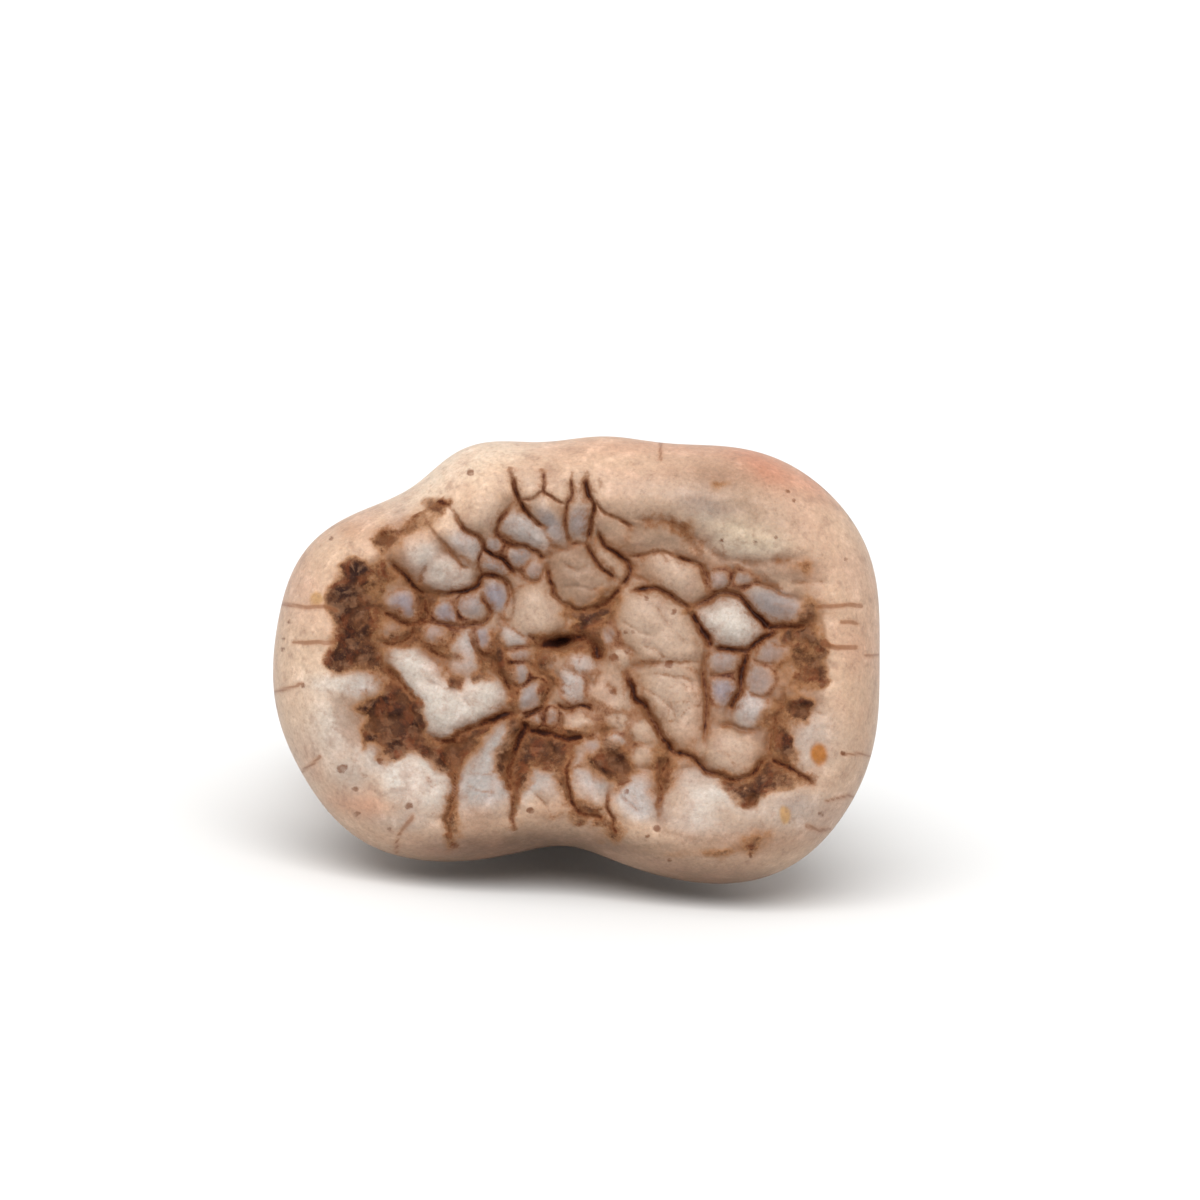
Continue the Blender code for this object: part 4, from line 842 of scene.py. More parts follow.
def knob_fields(u, v, size, seed):
    """Scattered knobs of the given size: how far each place is from the middle of its knob, and how
    much nearer it is to that one than to the next."""
    cell = np.floor(on_table(u, v) / size).astype(np.int64)
    first = np.full(u.shape, FAR)
    second = np.full(u.shape, FAR)
    for step_u in (-1, 0, 1):
        for step_v in (-1, 0, 1):
            near = cell + np.array([step_u, step_v, 0])
            gap_u = near[:, 0] + 0.5 + KNOB_SCATTER * scatter(near, seed) - u / size
            gap_v = near[:, 1] + 0.5 + KNOB_SCATTER * scatter(near, seed + 1) - v / size
            gap = np.hypot(gap_u, gap_v)
            second = np.minimum(second, np.maximum(first, gap))
            first = np.minimum(first, gap)
    return first * size, (second - first) * size


def knob_shape(gap, size):
    """A rounded knob, from half up in its middle to half down beside it."""
    return np.exp(-(gap / (0.4 * size)) ** 2) - 0.5


def wave_terms(angle):
    """The terms of a periodic series, one column for each."""
    columns = [np.ones_like(angle)]
    for wave in range(1, OUTLINE_WAVES + 1):
        columns.append(np.cos(wave * angle))
        columns.append(np.sin(wave * angle))
    return np.stack(columns, axis=-1)


def outline_series():
    """The periodic series that runs smoothly through the outline's points."""
    points = np.array(OUTLINE)
    angle = np.arctan2(points[:, 1], points[:, 0])
    distance = np.hypot(points[:, 0], points[:, 1])
    return np.linalg.lstsq(wave_terms(angle), distance, rcond=None)[0]


def neck_radius(angle):
    """An oval for the neck, where crown and root meet."""
    along = np.abs(np.cos(angle) / (0.5 * NECK_LENGTH)) ** NECK_SQUARENESS
    across = np.abs(np.sin(angle) / (0.5 * NECK_WIDTH)) ** NECK_SQUARENESS
    return (along + across) ** (-1.0 / NECK_SQUARENESS)


def smooth_line(points, steps=4):
    """A curve through the given points, as a denser list."""
    known = np.array(points)
    before = np.vstack([2.0 * known[:1] - known[1:2], known[:-1]])
    after = np.vstack([known[1:], 2.0 * known[-1:] - known[-2:-1]])
    slope = 0.5 * (after - before)
    line = [known[:1]]
    for index in range(len(known) - 1):
        part = np.linspace(0.0, 1.0, steps + 1)[1:, None]
        to_end = 3 * part ** 2 - 2 * part ** 3
        line.append((1.0 - to_end) * known[index] + to_end * known[index + 1]
                    + (part ** 3 - 2 * part ** 2 + part) * slope[index]
                    + (part ** 3 - part ** 2) * slope[index + 1])
    return np.vstack(line)


def distance_to_line(u, v, line, reach):
    """How far each place is from a line of short stretches, and the share of the line it is beside.
    Places farther than reach are given as far away."""
    nearest = np.full(u.shape, OUT_OF_REACH)
    share = np.zeros(u.shape)
    low, high = line.min(axis=0) - reach, line.max(axis=0) + reach
    near = (u > low[0]) & (u < high[0]) & (v > low[1]) & (v < high[1])
    near_u, near_v = u[near], v[near]
    gap_near, share_near = nearest[near], share[near]
    for index, (start, end) in enumerate(zip(line[:-1], line[1:])):
        run = end - start
        part = ((near_u - start[0]) * run[0] + (near_v - start[1]) * run[1]) / max(run @ run, 1e-12)
        part = np.clip(part, 0.0, 1.0)
        gap = np.hypot(near_u - start[0] - part * run[0], near_v - start[1] - part * run[1])
        share_near = np.where(gap < gap_near, (index + part) / (len(line) - 1), share_near)
        gap_near = np.minimum(gap_near, gap)
    nearest[near], share[near] = gap_near, share_near
    return nearest, share


def depth_inside(u, v, outline):
    """How far inside a closed outline each place is, in millimetres, and less than 0 outside it."""
    line = np.array(outline + outline[:1])
    gap = distance_to_line(u, v, line, 1.0)[0]
    inside = np.zeros(u.shape, dtype=bool)
    for start, end in zip(line[:-1], line[1:]):
        crosses = (start[1] > v) != (end[1] > v)
        rise = end[1] - start[1] if end[1] != start[1] else 1.0
        inside ^= crosses & (u < start[0] + (v - start[1]) / rise * (end[0] - start[0]))
    return np.where(inside, gap, -gap)


def spread_from(u, v, centre_u, centre_v, half_length, half_width, turn=0.0):
    """How far each place is from the middle of an oval, where 1 is its edge."""
    cosine, sine = math.cos(math.radians(turn)), math.sin(math.radians(turn))
    along = (cosine * (u - centre_u) + sine * (v - centre_v)) / half_length
    across = (cosine * (v - centre_v) - sine * (u - centre_u)) / half_width
    return np.hypot(along, across)


def warped(u, v):
    """The place that a wavering line or edge is read at, so that nothing is quite regular."""
    places = on_table(u, v)
    return (u + LINE_WANDER * roughness(places, "line u"),
            v + LINE_WANDER * roughness(places, "line v"))


def cap_height(inset):
    """The enamel edge of the crown: up over the shoulder to the rim, then down into the basin."""
    shoulder = np.clip(1.0 - inset / RIM_WIDTH, 0.0, 1.0)
    outside = BULGE_LEVEL + (RIM_LEVEL - BULGE_LEVEL) * np.sqrt(1.0 - shoulder ** 2)
    return outside + (BASIN_LEVEL - RIM_LEVEL) * from_outline("basin", inset)


def lobe_fields(u, v):
    """For each lobe: how far it stands up at each place, rounded on top and ever steeper away from it,
    and how far inside its edge the place is, in millimetres and as a share of the lobe."""
    fields = []
    for *oval, prominence, _ in LOBES:
        spread = spread_from(u, v, *oval)
        half_width = oval[3]
        rise = prominence * LOBE_FULL_RISE * (1.0 - math.exp(-half_width / LOBE_RISE_WIDTH))
        fields.append((rise * (1.0 - spread ** LOBE_STEEPNESS), (1.0 - spread) * half_width, 1.0 - spread))
    return fields


def lobe_weights(fields):
    """How much of each place belongs to the ground and to each lobe, and the height they give."""
    rises = [np.zeros_like(fields[0][0])] + [field[0] for field in fields]
    highest = np.maximum.reduce(rises)
    weights = [np.exp(np.maximum((one - highest) / LOBE_BLEND, -60.0)) for one in rises]
    return weights, highest + LOBE_BLEND * np.log(sum(weights))


def lobe_tint(fields, weights, inset, places):
    """The tone of the lobes and of the ground between them, within the plain enamel of the rim."""
    total = sum(weights)
    tint = np.zeros((len(inset), 3))
    for lobe, weight, field in zip(LOBES, weights[1:], fields):
        edge, middle = TONES[lobe[6]]
        part = smooth_step(0.0, LOBE_EDGE_SHARE, field[2])[:, None]
        tint += (weight / total)[:, None] * (linear(edge) * (1.0 - part) + linear(middle) * part)
    rim = 1.0 - from_outline("ground", inset)[:, None]
    plain = rim * linear(TONES["enamel"][0]) + (1.0 - rim) * linear(TONES["ground"][0])
    tint += (weights[0] / total)[:, None] * plain
    wandering = inset + TONE_WANDER * roughness(places, "rim edge")
    near_rim = (1.0 - from_outline("tones", wandering))[:, None]
    return tint * (1.0 - near_rim) + near_rim * linear(TONES["enamel"][0])


def bank_and_slope(u, v, fields, inset):
    """How far inside the lobes, slopes and rim each place is, which the painted shade at the lobes' edges
    follows, and whether it is on a smooth slope.
    """
    bank = np.maximum(np.maximum.reduce([field[1] for field in fields]), RIM_BAND - inset)
    slope = np.zeros_like(u)
    for oval in SLOPES:
        spread = spread_from(u, v, *oval)
        bank = np.maximum(bank, (1.0 - spread) * oval[3])
        slope = np.maximum(slope, 1.0 - smooth_step(0.8, 1.1, spread))
    return bank, slope


def fissure_fields(u, v):
    """How deep the fissures cut at each place, how dark their stain is, and how far off the nearest is."""
    cut = np.zeros_like(u)
    stain = np.zeros_like(u)
    nearest = np.full(u.shape, FISSURE_REACH)
    wrinkles = [(WRINKLE_WIDTH, WRINKLE_DEPTH, WRINKLE_DARKNESS * darkness, points)
                for darkness, points in WRINKLES]
    for width, depth, darkness, points in FISSURES + wrinkles:
        gap, share = distance_to_line(u, v, smooth_line(points), FISSURE_REACH)
        ends = smooth_step(0.0, FISSURE_FADE, share) * smooth_step(0.0, FISSURE_FADE, 1.0 - share)
        groove = np.exp(-(gap / (CUT_WIDTH_SHARE * width)) ** 2)
        cut = np.maximum(cut, FISSURE_DEPTH_SHARE * depth * ends * groove)
        core = np.exp(-(gap / (CORE_WIDTH_SHARE * width)) ** 2)
        halo = np.exp(-gap / (FISSURE_HALO + 0.6 * width))
        stain = np.maximum(stain, darkness * (0.4 + 0.6 * ends) * (0.52 * core + 0.48 * halo))
        nearest = np.minimum(nearest, gap + 0.5 * (1.0 - min(darkness, 1.0)))
    return cut, stain, nearest


def pit_depth(u, v):
    """How deep the sunk places are."""
    depths = np.zeros_like(u)
    for *oval, depth in PITS:
        depths = np.maximum(depths, depth * np.exp(-spread_from(u, v, *oval) ** 2))
    return depths


def skin(u, v, places, knob):
    """Knobs on the lobes, and grit where the brown places are."""
    grain = knob_fields(u, v, GRAIN_SIZE, GRAIN_SEED)[0]
    grit = GRAIN_RISE * knob_shape(grain, GRAIN_SIZE) + GRIT_RISE * roughness(places, "grit")
    knobs = KNOB_RISE * knob_shape(knob, KNOB_SIZE)
    soil = smooth_step(0.15, 0.6, basin_field(u, v))
    return SKIN_RISE * roughness(places, "skin") + grit * soil + knobs * (1.0 - soil)


def seam_stain(weights, slope, inset, places):
    """How dark the seams between the lobes are."""
    total = sum(weights)
    kinds = [GROUND_SEAM] + [SEAMS[lobe[6]] for lobe in LOBES]
    seam = sum(kind * weight for kind, weight in zip(kinds, weights)) / total
    seam *= np.clip(total - 1.0, 0.0, 1.0) ** SEAM_SHARPNESS
    seam *= np.clip(0.9 + 0.6 * roughness(places, "seams"), 0.3, 1.25)
    return seam * from_outline("seams", inset) * (1.0 - slope)


def table_relief(u, v, inset):
    """The chewing surface's height, with what its colours need."""
    u, v = warped(u, v)
    places = on_table(u, v)
    fields = lobe_fields(u, v)
    weights, rise = lobe_weights(fields)
    tint = lobe_tint(fields, weights, inset, places)
    bank, slope = bank_and_slope(u, v, fields, inset)
    cut, stain, nearest = fissure_fields(u, v)
    knob, knob_edge = knob_fields(u, v, KNOB_SIZE, KNOB_SEED)

    pillow = -PILLOW_RISE * np.exp(-nearest / PILLOW_REACH)
    height = cap_height(inset) + rise * from_outline("lobes", inset)
    height += (pillow + skin(u, v, places, knob)) * from_outline("relief", inset)
    height -= np.maximum(cut, pit_depth(u, v)) * from_outline("cuts", inset)

    stain *= np.clip(0.9 + 0.35 * roughness(places, "stain"), 0.5, 1.15)
    veins = VEIN_DARKNESS * np.exp(-knob_edge / VEIN_WIDTH)
    veins *= smooth_step(-0.1, 0.5, roughness(places, "veins")) * from_outline("veins", inset)
    seams = seam_stain(weights, slope, inset, places)
    return height, tint, {"stain": np.maximum.reduce([stain, veins, seams]), "bank": bank}


def hollows(x, y, height):
    """How far each place of the chewing surface's grid lies below the mean of those around it."""
    column = np.rint(0.5 * (x + 1.0) * GRID_CELLS).astype(int)
    row = np.rint(0.5 * (y + 1.0) * GRID_CELLS).astype(int)
    grid = np.zeros((GRID_CELLS + 1, GRID_CELLS + 1))
    grid[column, row] = height
    reach = int(3 * HOLLOW_CELLS)
    weights = np.exp(-0.5 * (np.arange(-reach, reach + 1) / HOLLOW_CELLS) ** 2)
    weights /= weights.sum()
    mean = np.pad(grid, reach, mode="edge")
    for axis in (0, 1):
        mean = np.apply_along_axis(np.convolve, axis, mean, weights, mode="valid")
    return (mean - grid)[column, row]


def basin_field(u, v):
    """The brown stain of the low places, darker in some of them."""
    places = on_table(u, v)
    u = u + STAIN_WANDER * roughness(places, "basin u")
    v = v + STAIN_WANDER * roughness(places, "basin v")
    stain = np.zeros_like(u)
    for strength, outline in STAINS:
        depth = depth_inside(u, v, outline)
        stain = np.maximum(stain, strength * smooth_step(-STAIN_EDGE, STAIN_EDGE, depth))
    for *oval, strength in DARK_PLACES:
        stain += strength * np.exp(-spread_from(u, v, *oval) ** 2)
    return stain


def near_mark(gap, half_width, reach):
    """1 on a mark of the given half width, falling to 0 at a distance beside it."""
    return np.clip(1.0 - np.maximum(gap - half_width, 0.0) / reach, 0.0, 1.0)


def crack_field(u, v):
    """How near each place is to a crack."""
    field = np.zeros_like(u)
    for half_width, points in CRACKS:
        gap = distance_to_line(u, v, smooth_line(points), CRACK_REACH + half_width)[0]
        field = np.maximum(field, near_mark(gap, half_width, CRACK_REACH))
    return field


def speck_field(u, v):
    """How near each place is to a speck."""
    field = np.zeros_like(u)
    for centre_u, centre_v, radius in SPECKS:
        gap = np.hypot(u - centre_u, v - centre_v)
        field = np.maximum(field, near_mark(gap, radius, SPECK_REACH))
    return field


def with_tone(tint, tone, weight):
    """The tint, turned to a named tone as far as the weight says."""
    weight = weight[:, None]
    return tint * (1.0 - weight) + weight * linear(TONES[tone][1])


def with_patches(u, v, tint):
    """The tint, with the places where the enamel has another tone, and the painted light and shade."""
    for *oval, tone, strength in PATCHES:
        tint = with_tone(tint, tone, strength * np.exp(-0.9 * spread_from(u, v, *oval) ** 2.2))
    for *oval, tone in SPOTS:
        tint = with_tone(tint, tone, smooth_step(1.4, 0.7, spread_from(u, v, *oval)))
    return tint


def root_radius(share):
    """How thick the root is at a share of its length, as a share of the neck."""
    return (1.0 - share ** ROOT_TAPER) ** (1.0 / ROOT_ROUNDING)


def root_share(radius):
    """The share of the root's length at which it has the given thickness."""
    return (1.0 - radius ** ROOT_ROUNDING) ** (1.0 / ROOT_TAPER)


def root_groove(angle, share):
    """How deep the groove down both faces of the root is, as a share of the root's thickness."""
    depth = GROOVE_START + GROOVE_DEEPENING * smooth_step(0.0, 0.5, share)
    return depth * np.exp(-((np.cos(angle) + GROOVE_SHIFT) / GROOVE_WIDTH) ** 2)


def root_relief(angle, share):
    """Lumps, streaks, fine rings and pits of the root's bone, in millimetres."""
    across = [10.0 * np.cos(angle), 10.0 * np.sin(angle)]
    streaks = np.stack(across + [9.0 * share], axis=-1)
    lumps = np.stack(across + [26.0 * share], axis=-1)
    rings = np.sin(42.0 * share + 1.5 * roughness(streaks, "root rings", 1))
    relief = 0.1 * roughness(streaks, "root streaks") + 0.12 * roughness(lumps, "root lumps")
    relief += 0.03 * rings + 0.03 * roughness(lumps, "root grain")
    pitted = smooth_step(0.4, 0.9, roughness(lumps, "root pits", 1)) * smooth_step(0.2, 0.9, share)
    return relief - ROOT_PIT_DEPTH * pitted


def root_points(angle, share, radius):
    """Places on the root: a flat cone with a groove down both faces, curved back at its tip."""
    swell = 0.022 * np.sin(3.0 * angle + 5.0 * share) + 0.014 * np.sin(7.0 * angle - 4.0 * share)
    reach = neck_radius(angle) * radius * (1.0 - root_groove(angle, share))
    reach = reach * (1.0 + swell * smooth_step(0.0, 0.15, share))
    reach = reach + root_relief(angle, share) * smooth_step(0.0, 0.06, share) * smooth_step(0.0, 0.3, radius)
    u = reach * np.cos(angle)
    v = reach * np.sin(angle)
    notch = TIP_NOTCH * np.exp(-(u / TIP_NOTCH_WIDTH) ** 2) * smooth_step(0.8, 1.0, share)
    w = NECK_LEVEL - ROOT_LENGTH * share + notch
    return u - ROOT_CURVE * share ** 1.9, v - ROOT_LEAN * share ** 2, w


def enamel_edge(angle):
    """The level of the enamel's lower edge, a line that waves round the neck."""
    circle = np.stack([6.0 * np.cos(angle), 6.0 * np.sin(angle), np.zeros_like(angle)], axis=-1)
    wave = ENAMEL_EDGE_WAVE * np.cos(2.0 * angle)
    return ENAMEL_EDGE_LEVEL + wave + 0.15 * roughness(circle, "enamel edge", 1)


def bare_root(angle, level):
    """Whether a place on the crown's wall is below the enamel's edge."""
    return 1.0 - smooth_step(-ENAMEL_EDGE_RUN, ENAMEL_EDGE_RUN, level - enamel_edge(angle))


def crown_wall(angle, series, turn):
    """Places on the side of the crown: turn falls from the shoulder through 0 at the bulge to the neck."""
    radius = wave_terms(angle) @ series
    upper_inset = RIM_WIDTH * (1.0 - np.cos(turn))
    upper_level = BULGE_LEVEL + (RIM_LEVEL - BULGE_LEVEL) * np.sin(turn)
    lower = (1.0 - np.cos(turn)) / (1.0 - math.cos(NECK_TURN))
    lower_inset = (radius - neck_radius(angle)) * lower
    lower_level = BULGE_LEVEL + (BULGE_LEVEL - NECK_LEVEL) * np.sin(turn) / math.sin(NECK_TURN)
    inset = np.where(turn > 0.0, upper_inset, lower_inset)
    level = np.where(turn > 0.0, upper_level, lower_level)
    step_back = bare_root(angle, level) * (1.0 - smooth_step(0.9, 1.0, lower * (turn < 0.0)))
    reach = radius - inset - ENAMEL_THICKNESS * step_back
    return reach * np.cos(angle), reach * np.sin(angle), level


def tooth_surface(cube):
    """Carries the surface of a cube onto the tooth: its top to the chewing surface, its sides to the
    crown's wall and the root, and its bottom to the root's tip. Also gives the values that the
    material reads."""
    x, y, z = cube[:, 0], cube[:, 1], cube[:, 2]
    disc_x = x * np.sqrt(1.0 - 0.5 * y * y)
    disc_y = y * np.sqrt(1.0 - 0.5 * x * x)
    angle = np.arctan2(disc_y, disc_x)
    disc = np.clip(np.hypot(disc_x, disc_y), 0.0, 1.0)
    series = outline_series()
    places = np.zeros_like(cube)
    tint = np.tile(linear(TONES["enamel"][0]), (len(cube), 1))
    fields = {name: np.zeros(len(cube)) for name in ("stain", "basin", "bank", "hollow", "crack", "speck")}
    fields["bank"] += RIM_BAND

    top = z > 1.0 - 1e-6
    radius = wave_terms(angle[top]) @ series
    reach = disc[top] * (radius - TABLE_EDGE)
    inset = radius - reach
    u, v = reach * np.cos(angle[top]), reach * np.sin(angle[top])
    height, tint[top], relief_fields = table_relief(u, v, inset)
    places[top] = np.stack([u, v, height], axis=-1)
    for name, values in relief_fields.items():
        fields[name][top] = values
    # the depth of the hollows, which the colour darkens as painted shade with brown stain
    fields["hollow"][top] = hollows(x[top], y[top], height) * from_outline("relief", inset)

    down = 0.5 * (1.0 - z)
    crown = ~top & (down <= CROWN_SHARE)
    turn = SHOULDER_TURN - (SHOULDER_TURN + NECK_TURN) * down / CROWN_SHARE
    places[crown] = np.stack(crown_wall(angle[crown], series, turn[crown]), axis=-1)

    tip = z < -1.0 + 1e-6
    side = ~top & ~crown & ~tip
    share = TIP_START * (down[side] - CROWN_SHARE) / (1.0 - CROWN_SHARE)
    places[side] = np.stack(root_points(angle[side], share, root_radius(share)), axis=-1)
    fields["hollow"][side] = root_groove(angle[side], share)
    radius = disc[tip] * root_radius(TIP_START)
    places[tip] = np.stack(root_points(angle[tip], root_share(radius), radius), axis=-1)

    u, v = warped(places[:, 0], places[:, 1])
    ahead = np.where(top, 1.0, smooth_step(-0.25, 0.1, turn) * crown)
    seen = ahead > 0.0
    for name, field in (("basin", basin_field), ("crack", crack_field), ("speck", speck_field)):
        fields[name][seen] = field(u[seen], v[seen]) * ahead[seen]
    patched = with_patches(u[seen], v[seen], tint[seen])
    tint[seen] = tint[seen] + (patched - tint[seen]) * ahead[seen][:, None]
    fields["root"] = np.where(crown, bare_root(angle, places[:, 2]), (side | tip).astype(float))
    fields["level"] = -places[:, 2] / LEVEL_RUN
    fields["tint"] = tint
    return places, fields


def refine(bm, lowest):
    """Splits in four the cube faces whose middle is higher than a level."""
    chosen = [face for face in bm.faces if face.calc_center_median().z > lowest]
    edges = list({edge for face in chosen for edge in face.edges})
    bmesh.ops.subdivide_edges(bm, edges=edges, cuts=1, use_grid_fill=True)


def cube_mesh():
    """A cube whose faces are split finely, most of all on top."""
    bm = bmesh.new()
    bmesh.ops.create_cube(bm, size=2.0)
    bmesh.ops.subdivide_edges(bm, edges=bm.edges[:], cuts=GRID_CELLS // 4 - 1, use_grid_fill=True)
    for lowest in FINER_ABOVE:
        refine(bm, lowest)
    bmesh.ops.triangulate(bm, faces=bm.faces[:])
    mesh = bpy.data.meshes.new("tooth_surface")
    bm.to_mesh(mesh)
    bm.free()
    return mesh


def vertex_places(mesh):
    """The mesh's vertices, one row for each."""
    flat = np.zeros(len(mesh.vertices) * 3)
    mesh.vertices.foreach_get("co", flat)
    return flat.reshape(-1, 3)


def store(mesh, name, values):
    """Keeps a value or colour for each vertex."""
    if values.ndim == 2:
        layer = mesh.attributes.new(name, "FLOAT_COLOR", "POINT")
        layer.data.foreach_set("color", np.hstack([values, np.ones((len(values), 1))]).ravel())
    else:
        layer = mesh.attributes.new(name, "FLOAT", "POINT")
        layer.data.foreach_set("value", values)


def lying_turn():
    """The turn from the tooth's own axes to the way it lies."""
    level = Matrix.Rotation(math.radians(LEVEL_TURN), 4, "Z")
    return Matrix.Rotation(math.radians(90.0 - LYING_TILT), 4, "X") @ level


def fit_to_frame(mesh):
    """Lays the tooth down just inside the solid's box, and gives the move from millimetres."""
    move = Matrix.Scale(MM, 4) @ lying_turn()
    mesh.transform(move)
    places = vertex_places(mesh)
    low, high = places.min(axis=0), places.max(axis=0)
    box_low, box_high = (np.array(corner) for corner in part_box("tooth"))
    size = min(1.0, ((box_high - box_low) / (high - low)).min())
    shift = 0.5 * (box_low + box_high) - size * 0.5 * (low + high)
    shift[2] = box_low[2] - size * low[2]
    fit = Matrix.Translation(Vector(shift)) @ Matrix.Scale(size, 4)
    mesh.transform(fit)
    return fit @ move


class Nodes:
    """Adds the nodes of one material, and links them."""

    def __init__(self, material):
        material.use_nodes = True
        self.tree = material.node_tree
        self.shader = self.tree.nodes["Principled BSDF"]

    def put(self, socket, value):
        """Sets a socket to a value, or links it to another node's output."""
        if isinstance(value, bpy.types.NodeSocket):
            self.tree.links.new(value, socket)
        else:
            socket.default_value = value

    def add(self, kind, output, inputs, **settings):
        """Adds a node with the given inputs and settings, and gives one of its outputs."""
        node = self.tree.nodes.new("ShaderNode" + kind)
        for name, value in settings.items():
            setattr(node, name, value)
        for name, value in inputs.items():
            self.put(node.inputs[name], value)
        return node.outputs[output]

    def attribute(self, name, output="Fac"):
        """A value or colour that the mesh keeps for each vertex."""
        return self.add("Attribute", output, {}, attribute_name=name)

    def place(self, stretch=(1.0, 1.0, 1.0), turn=(0.0, 0.0, 0.0)):
        """The place on the object in millimetres, stretched and turned."""
        spot = self.add("TexCoord", "Object", {})
        scale = [one / MM for one in stretch]
        return self.add("Mapping", "Vector", {"Vector": spot, "Rotation": turn, "Scale": scale})

    def noise(self, place, scale, detail, rough, distortion):
        """Random values about 0.5."""
        return self.add("TexNoise", "Fac", {"Vector": place, "Scale": scale, "Detail": detail,
                                            "Roughness": rough, "Distortion": distortion})

    def cell_edges(self, place, scale):
        """How far each place is from the edge of its random cell."""
        inputs = {"Vector": place, "Scale": scale}
        return self.add("TexVoronoi", "Distance", inputs, feature="DISTANCE_TO_EDGE")

    def ramp(self, value, low, high, top=1.0, bottom=0.0, kind="SMOOTHSTEP"):
        """Runs from bottom to top while the value runs from low to high."""
        return self.add("MapRange", "Result", {"Value": value, "From Min": low, "From Max": high,
                                               "To Min": bottom, "To Max": top}, interpolation_type=kind)

    def combine(self, kind, first, second):
        """Two values joined by one kind of sum."""
        return self.add("Math", 0, {0: first, 1: second}, operation=kind)

    def plus(self, first, second):
        """Two values added."""
        return self.combine("ADD", first, second)

    def times(self, first, second):
        """Two values multiplied."""
        return self.combine("MULTIPLY", first, second)

    def swing(self, texture, amount):
        """A texture's values about 0, times an amount."""
        return self.times(self.combine("SUBTRACT", texture, 0.5), amount)

    def broken(self, value, texture, amount, *limit):
        """A value made uneven by a texture, where a ramp of that value lets it."""
        return self.plus(value, self.times(self.swing(texture, amount), self.ramp(value, *limit)))

    def mix(self, factor, first, second, kind="MIX"):
        """Two colours, mixed as far as the factor says."""
        inputs = {0: factor, 6: first, 7: second}
        return self.add("Mix", 2, inputs, data_type="RGBA", blend_type=kind)

    def layered(self, colour, layers, values):
        """A colour with others over it, each as far as its source says and its limit lets it."""
        for source, low, high, strength, dye, *limit in layers:
            factor = self.ramp(values[source], low, high, strength)
            if limit:
                factor = self.times(factor, self.ramp(values[limit[0]], *limit[1:]))
            colour = self.mix(factor, colour, rgba(dye))
        return colour


def rgba(colour):
    """A colour given from 0 to 255, with its alpha."""
    return (*linear(colour), 1.0)


def make_textures(nodes):
    """The random textures that the tooth's colours share, by name."""
    place = nodes.place()
    along_root = nodes.place(stretch=(1.0, ROOT_STRETCH, 1.0), turn=(math.radians(LYING_TILT), 0.0, 0.0))
    textures = {name: nodes.noise(place, *values) for name, values in TEXTURES.items()}
    for name, values in ROOT_TEXTURES.items():
        textures[name] = nodes.noise(along_root, *values)
    textures["cell edges"] = nodes.cell_edges(along_root, ROOT_CELLS)
    return textures


def surface_values(nodes):
    """The values that the colours follow, by name: the textures, and what the mesh keeps."""
    values = make_textures(nodes)
    fine, middling = values["fine"], values["middling"]
    for name in ("bank", "basin", "hollow", "stain", "crack", "speck", "root", "level"):
        values[name] = nodes.attribute(name)
    for texture in (fine, middling):
        values["bank"] = nodes.plus(values["bank"], nodes.swing(texture, 0.5))
    for texture, amount in ((fine, 1.15), (middling, 0.9)):
        values["basin"] = nodes.broken(values["basin"], texture, amount, 0.0, 0.6)
    values["hollow"] = nodes.broken(values["hollow"], fine, 1.2, 0.0, 0.1, 0.1)
    values["stain"] = nodes.broken(values["stain"], fine, 1.4, 0.0, 0.3)
    values["crack"] = nodes.plus(values["crack"], nodes.swing(fine, 0.2))
    values["speck"] = nodes.plus(values["speck"], nodes.swing(fine, 0.7))
    return values


def crown_colour(nodes, values):
    """The crown's tones, mottled, with its matrix, stain, painted shade, cracks and specks."""
    tint = nodes.attribute("tint", "Color")
    tint = nodes.mix(nodes.ramp(values["broad"], 0.45, 0.7, 0.24), tint, rgba(FLESH))
    tint = nodes.mix(nodes.ramp(values["middling"], 0.52, 0.72), tint, LIGHT_MOTTLE, "MULTIPLY")
    colour = nodes.layered(tint, SURFACE_LAYERS, values)
    speckle = nodes.ramp(values["speckle"], 0.3, 0.7, 1.14, 0.82, "LINEAR")
    return nodes.layered(nodes.mix(1.0, colour, speckle, "MULTIPLY"), MARK_LAYERS, values)


def tooth_colour(nodes, values):
    """The crown's colour and the bone's, with splits in both and a broken dark line between them."""
    root = values["root"]
    splits = nodes.ramp(values["cell edges"], 0.03, 0.0, 0.55, 0.0, "LINEAR")
    splits = nodes.times(splits, nodes.ramp(values["level"], 0.35, 0.6))
    splits = nodes.times(splits, nodes.ramp(values["broad"], 0.45, 0.6))
    crown = nodes.mix(splits, crown_colour(nodes, values), rgba(WALL_SPLIT))
    bone = nodes.layered(rgba(DARK_BONE), BONE_LAYERS, values)
    bone = nodes.mix(nodes.times(splits, 0.8), bone, rgba(BONE_SPLIT))
    seam = nodes.times(nodes.ramp(root, 0.3, 0.6), nodes.ramp(root, 0.98, 0.7))
    seam = nodes.times(seam, nodes.ramp(values["blotches"], 0.35, 0.65, 0.7, 0.3))
    return nodes.mix(seam, nodes.mix(root, crown, bone), rgba(ENAMEL_SEAM))


def surface_roughness(nodes, values, on_ground):
    """Smoother on the enamel than in the stain, on the matrix and on the root."""
    rough = nodes.plus(nodes.ramp(values["stain"], 0.2, 0.8, 0.55, 0.4), nodes.times(on_ground, 0.25))
    rough = nodes.plus(rough, nodes.times(values["root"], 0.3))
    return nodes.plus(rough, nodes.swing(values["fine"], 0.2))


def surface_grit(nodes, values, on_ground):
    """The finest grit, most of all on the matrix and the root."""
    grit = nodes.times(values["fine"], nodes.plus(on_ground, 0.2))
    bone_grit = nodes.times(nodes.times(values["streaks"], values["root"]), 2.0)
    inputs = {"Strength": BUMP_STRENGTH, "Distance": BUMP_HEIGHT * MM, "Height": nodes.plus(grit, bone_grit)}
    return nodes.add("Bump", "Normal", inputs)


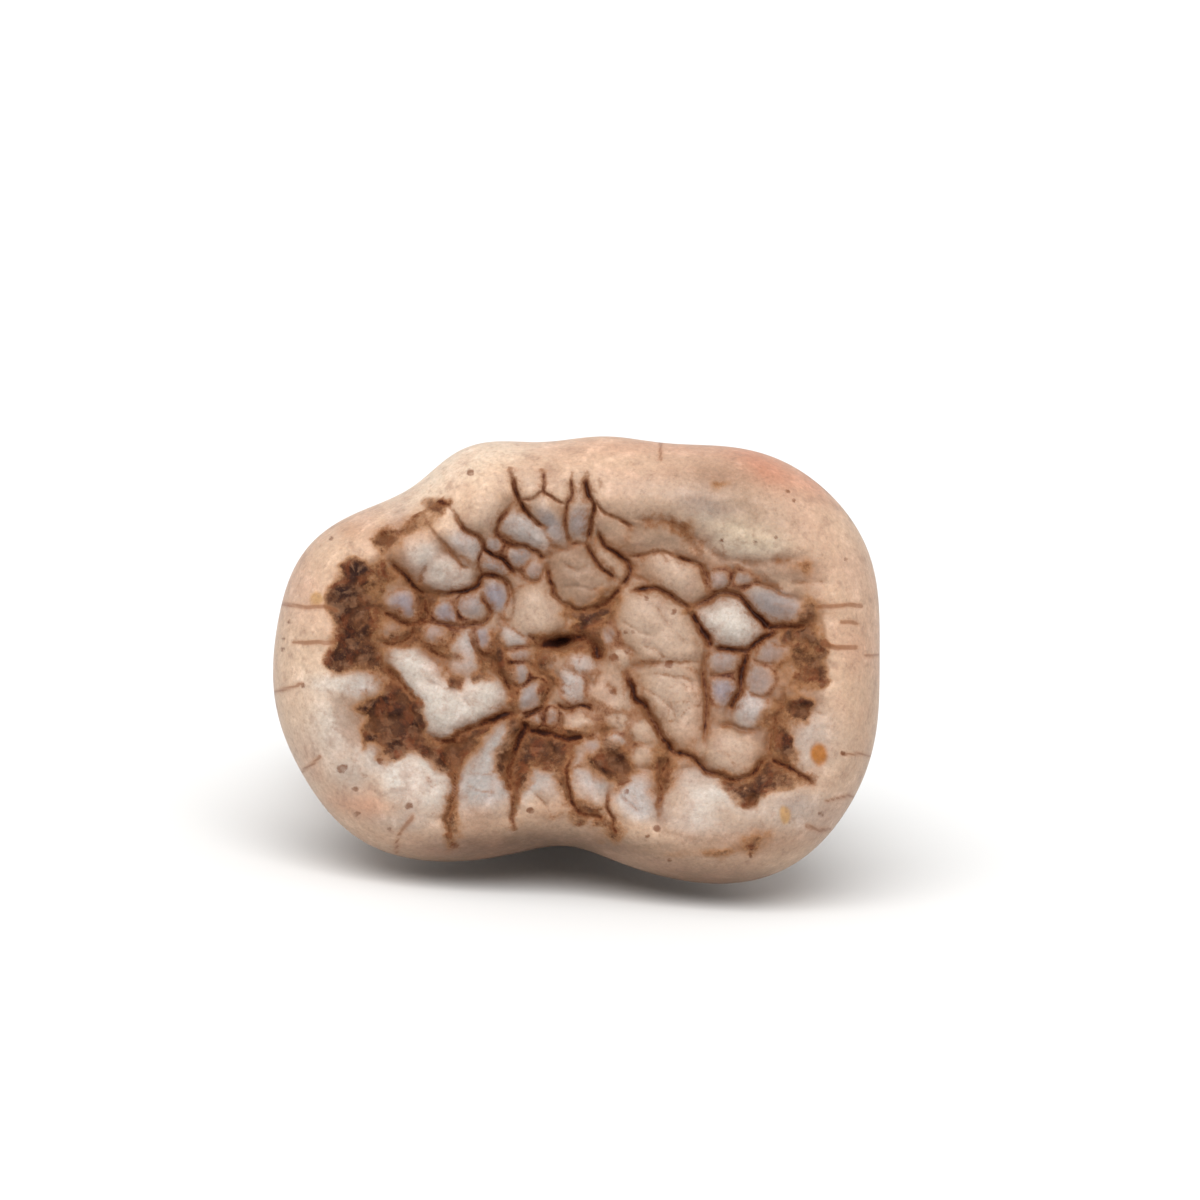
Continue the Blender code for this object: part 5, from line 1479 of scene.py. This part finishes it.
def tooth_material():
    """Old enamel stained brown in its low places, with painted light and shade in its colour, and a duller
    root.
    """
    material = bpy.data.materials.new("fossil_tooth")
    nodes = Nodes(material)
    values = surface_values(nodes)
    on_ground = nodes.ramp(values["basin"], 0.2, 0.6)
    inputs = dict(SURFACE)
    inputs["Base Color"] = tooth_colour(nodes, values)
    inputs["Roughness"] = surface_roughness(nodes, values, on_ground)
    inputs["Normal"] = surface_grit(nodes, values, on_ground)
    for name, value in inputs.items():
        nodes.put(nodes.shader.inputs[name], value)
    return material


def show(piece):
    """Adds an object to the scene."""
    bpy.context.scene.collection.objects.link(piece)


def make_tooth():
    """The tooth's fine surface, laid where its solid lies."""
    mesh = cube_mesh()
    places, values = tooth_surface(vertex_places(mesh))
    mesh.vertices.foreach_set("co", places.ravel())
    for name, value in values.items():
        store(mesh, name, value)
    move = fit_to_frame(mesh)
    mesh.update()
    mesh.shade_smooth()
    mesh.materials.append(tooth_material())
    tooth = bpy.data.objects.new("tooth_surface", mesh)
    show(tooth)
    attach(tooth, "root")
    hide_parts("tooth")
    return move


def make_floor():
    """A wide pale floor."""
    bm = bmesh.new()
    bmesh.ops.create_grid(bm, x_segments=1, y_segments=1, size=FLOOR_HALF)
    mesh = bpy.data.meshes.new("floor")
    bm.to_mesh(mesh)
    bm.free()
    floor = bpy.data.objects.new("floor", mesh)
    material = bpy.data.materials.new("floor_white")
    nodes = Nodes(material)
    nodes.shader.inputs["Base Color"].default_value = FLOOR_COLOUR
    nodes.shader.inputs["Roughness"].default_value = FLOOR_ROUGHNESS
    mesh.materials.append(material)
    show(floor)


def make_light():
    """Soft white light from all round, and more of it from above."""
    world = bpy.data.worlds.new("studio")
    world.use_nodes = True
    background = world.node_tree.nodes["Background"]
    background.inputs["Color"].default_value = (1.0, 1.0, 1.0, 1.0)
    background.inputs["Strength"].default_value = SKY_STRENGTH
    bpy.context.scene.world = world
    lamp = bpy.data.lights.new("key", "SUN")
    lamp.energy = LAMP_STRENGTH
    lamp.angle = math.radians(LAMP_SPREAD)
    light = bpy.data.objects.new("key", lamp)
    light.rotation_mode = "QUATERNION"
    light.rotation_quaternion = Vector(LAMP_DIRECTION).to_track_quat("-Z", "Y")
    show(light)


def make_camera(move):
    """Looks straight at the chewing surface, with the crown where the photo shows it."""
    middle_u = (0.5 * PHOTO_SIDE - CROWN_MIDDLE_PX[0]) / PX_PER_MM
    middle_v = (CROWN_MIDDLE_PX[1] - 0.5 * PHOTO_SIDE) / PX_PER_MM
    camera_data = bpy.data.cameras.new("camera")
    camera_data.sensor_width = SENSOR_MM
    camera_data.lens = SENSOR_MM * CAMERA_DISTANCE * PX_PER_MM / PHOTO_SIDE
    camera_data.clip_start, camera_data.clip_end = CAMERA_REACH
    camera = bpy.data.objects.new("camera", camera_data)
    camera.rotation_mode = "QUATERNION"
    camera.rotation_quaternion = lying_turn().to_quaternion()
    camera.location = move @ Vector((middle_u, middle_v, BULGE_LEVEL + CAMERA_DISTANCE))
    show(camera)
    bpy.context.scene.camera = camera


move_to_frame = make_tooth()
make_floor()
make_light()
make_camera(move_to_frame)
bpy.context.scene.view_settings.view_transform = "Standard"
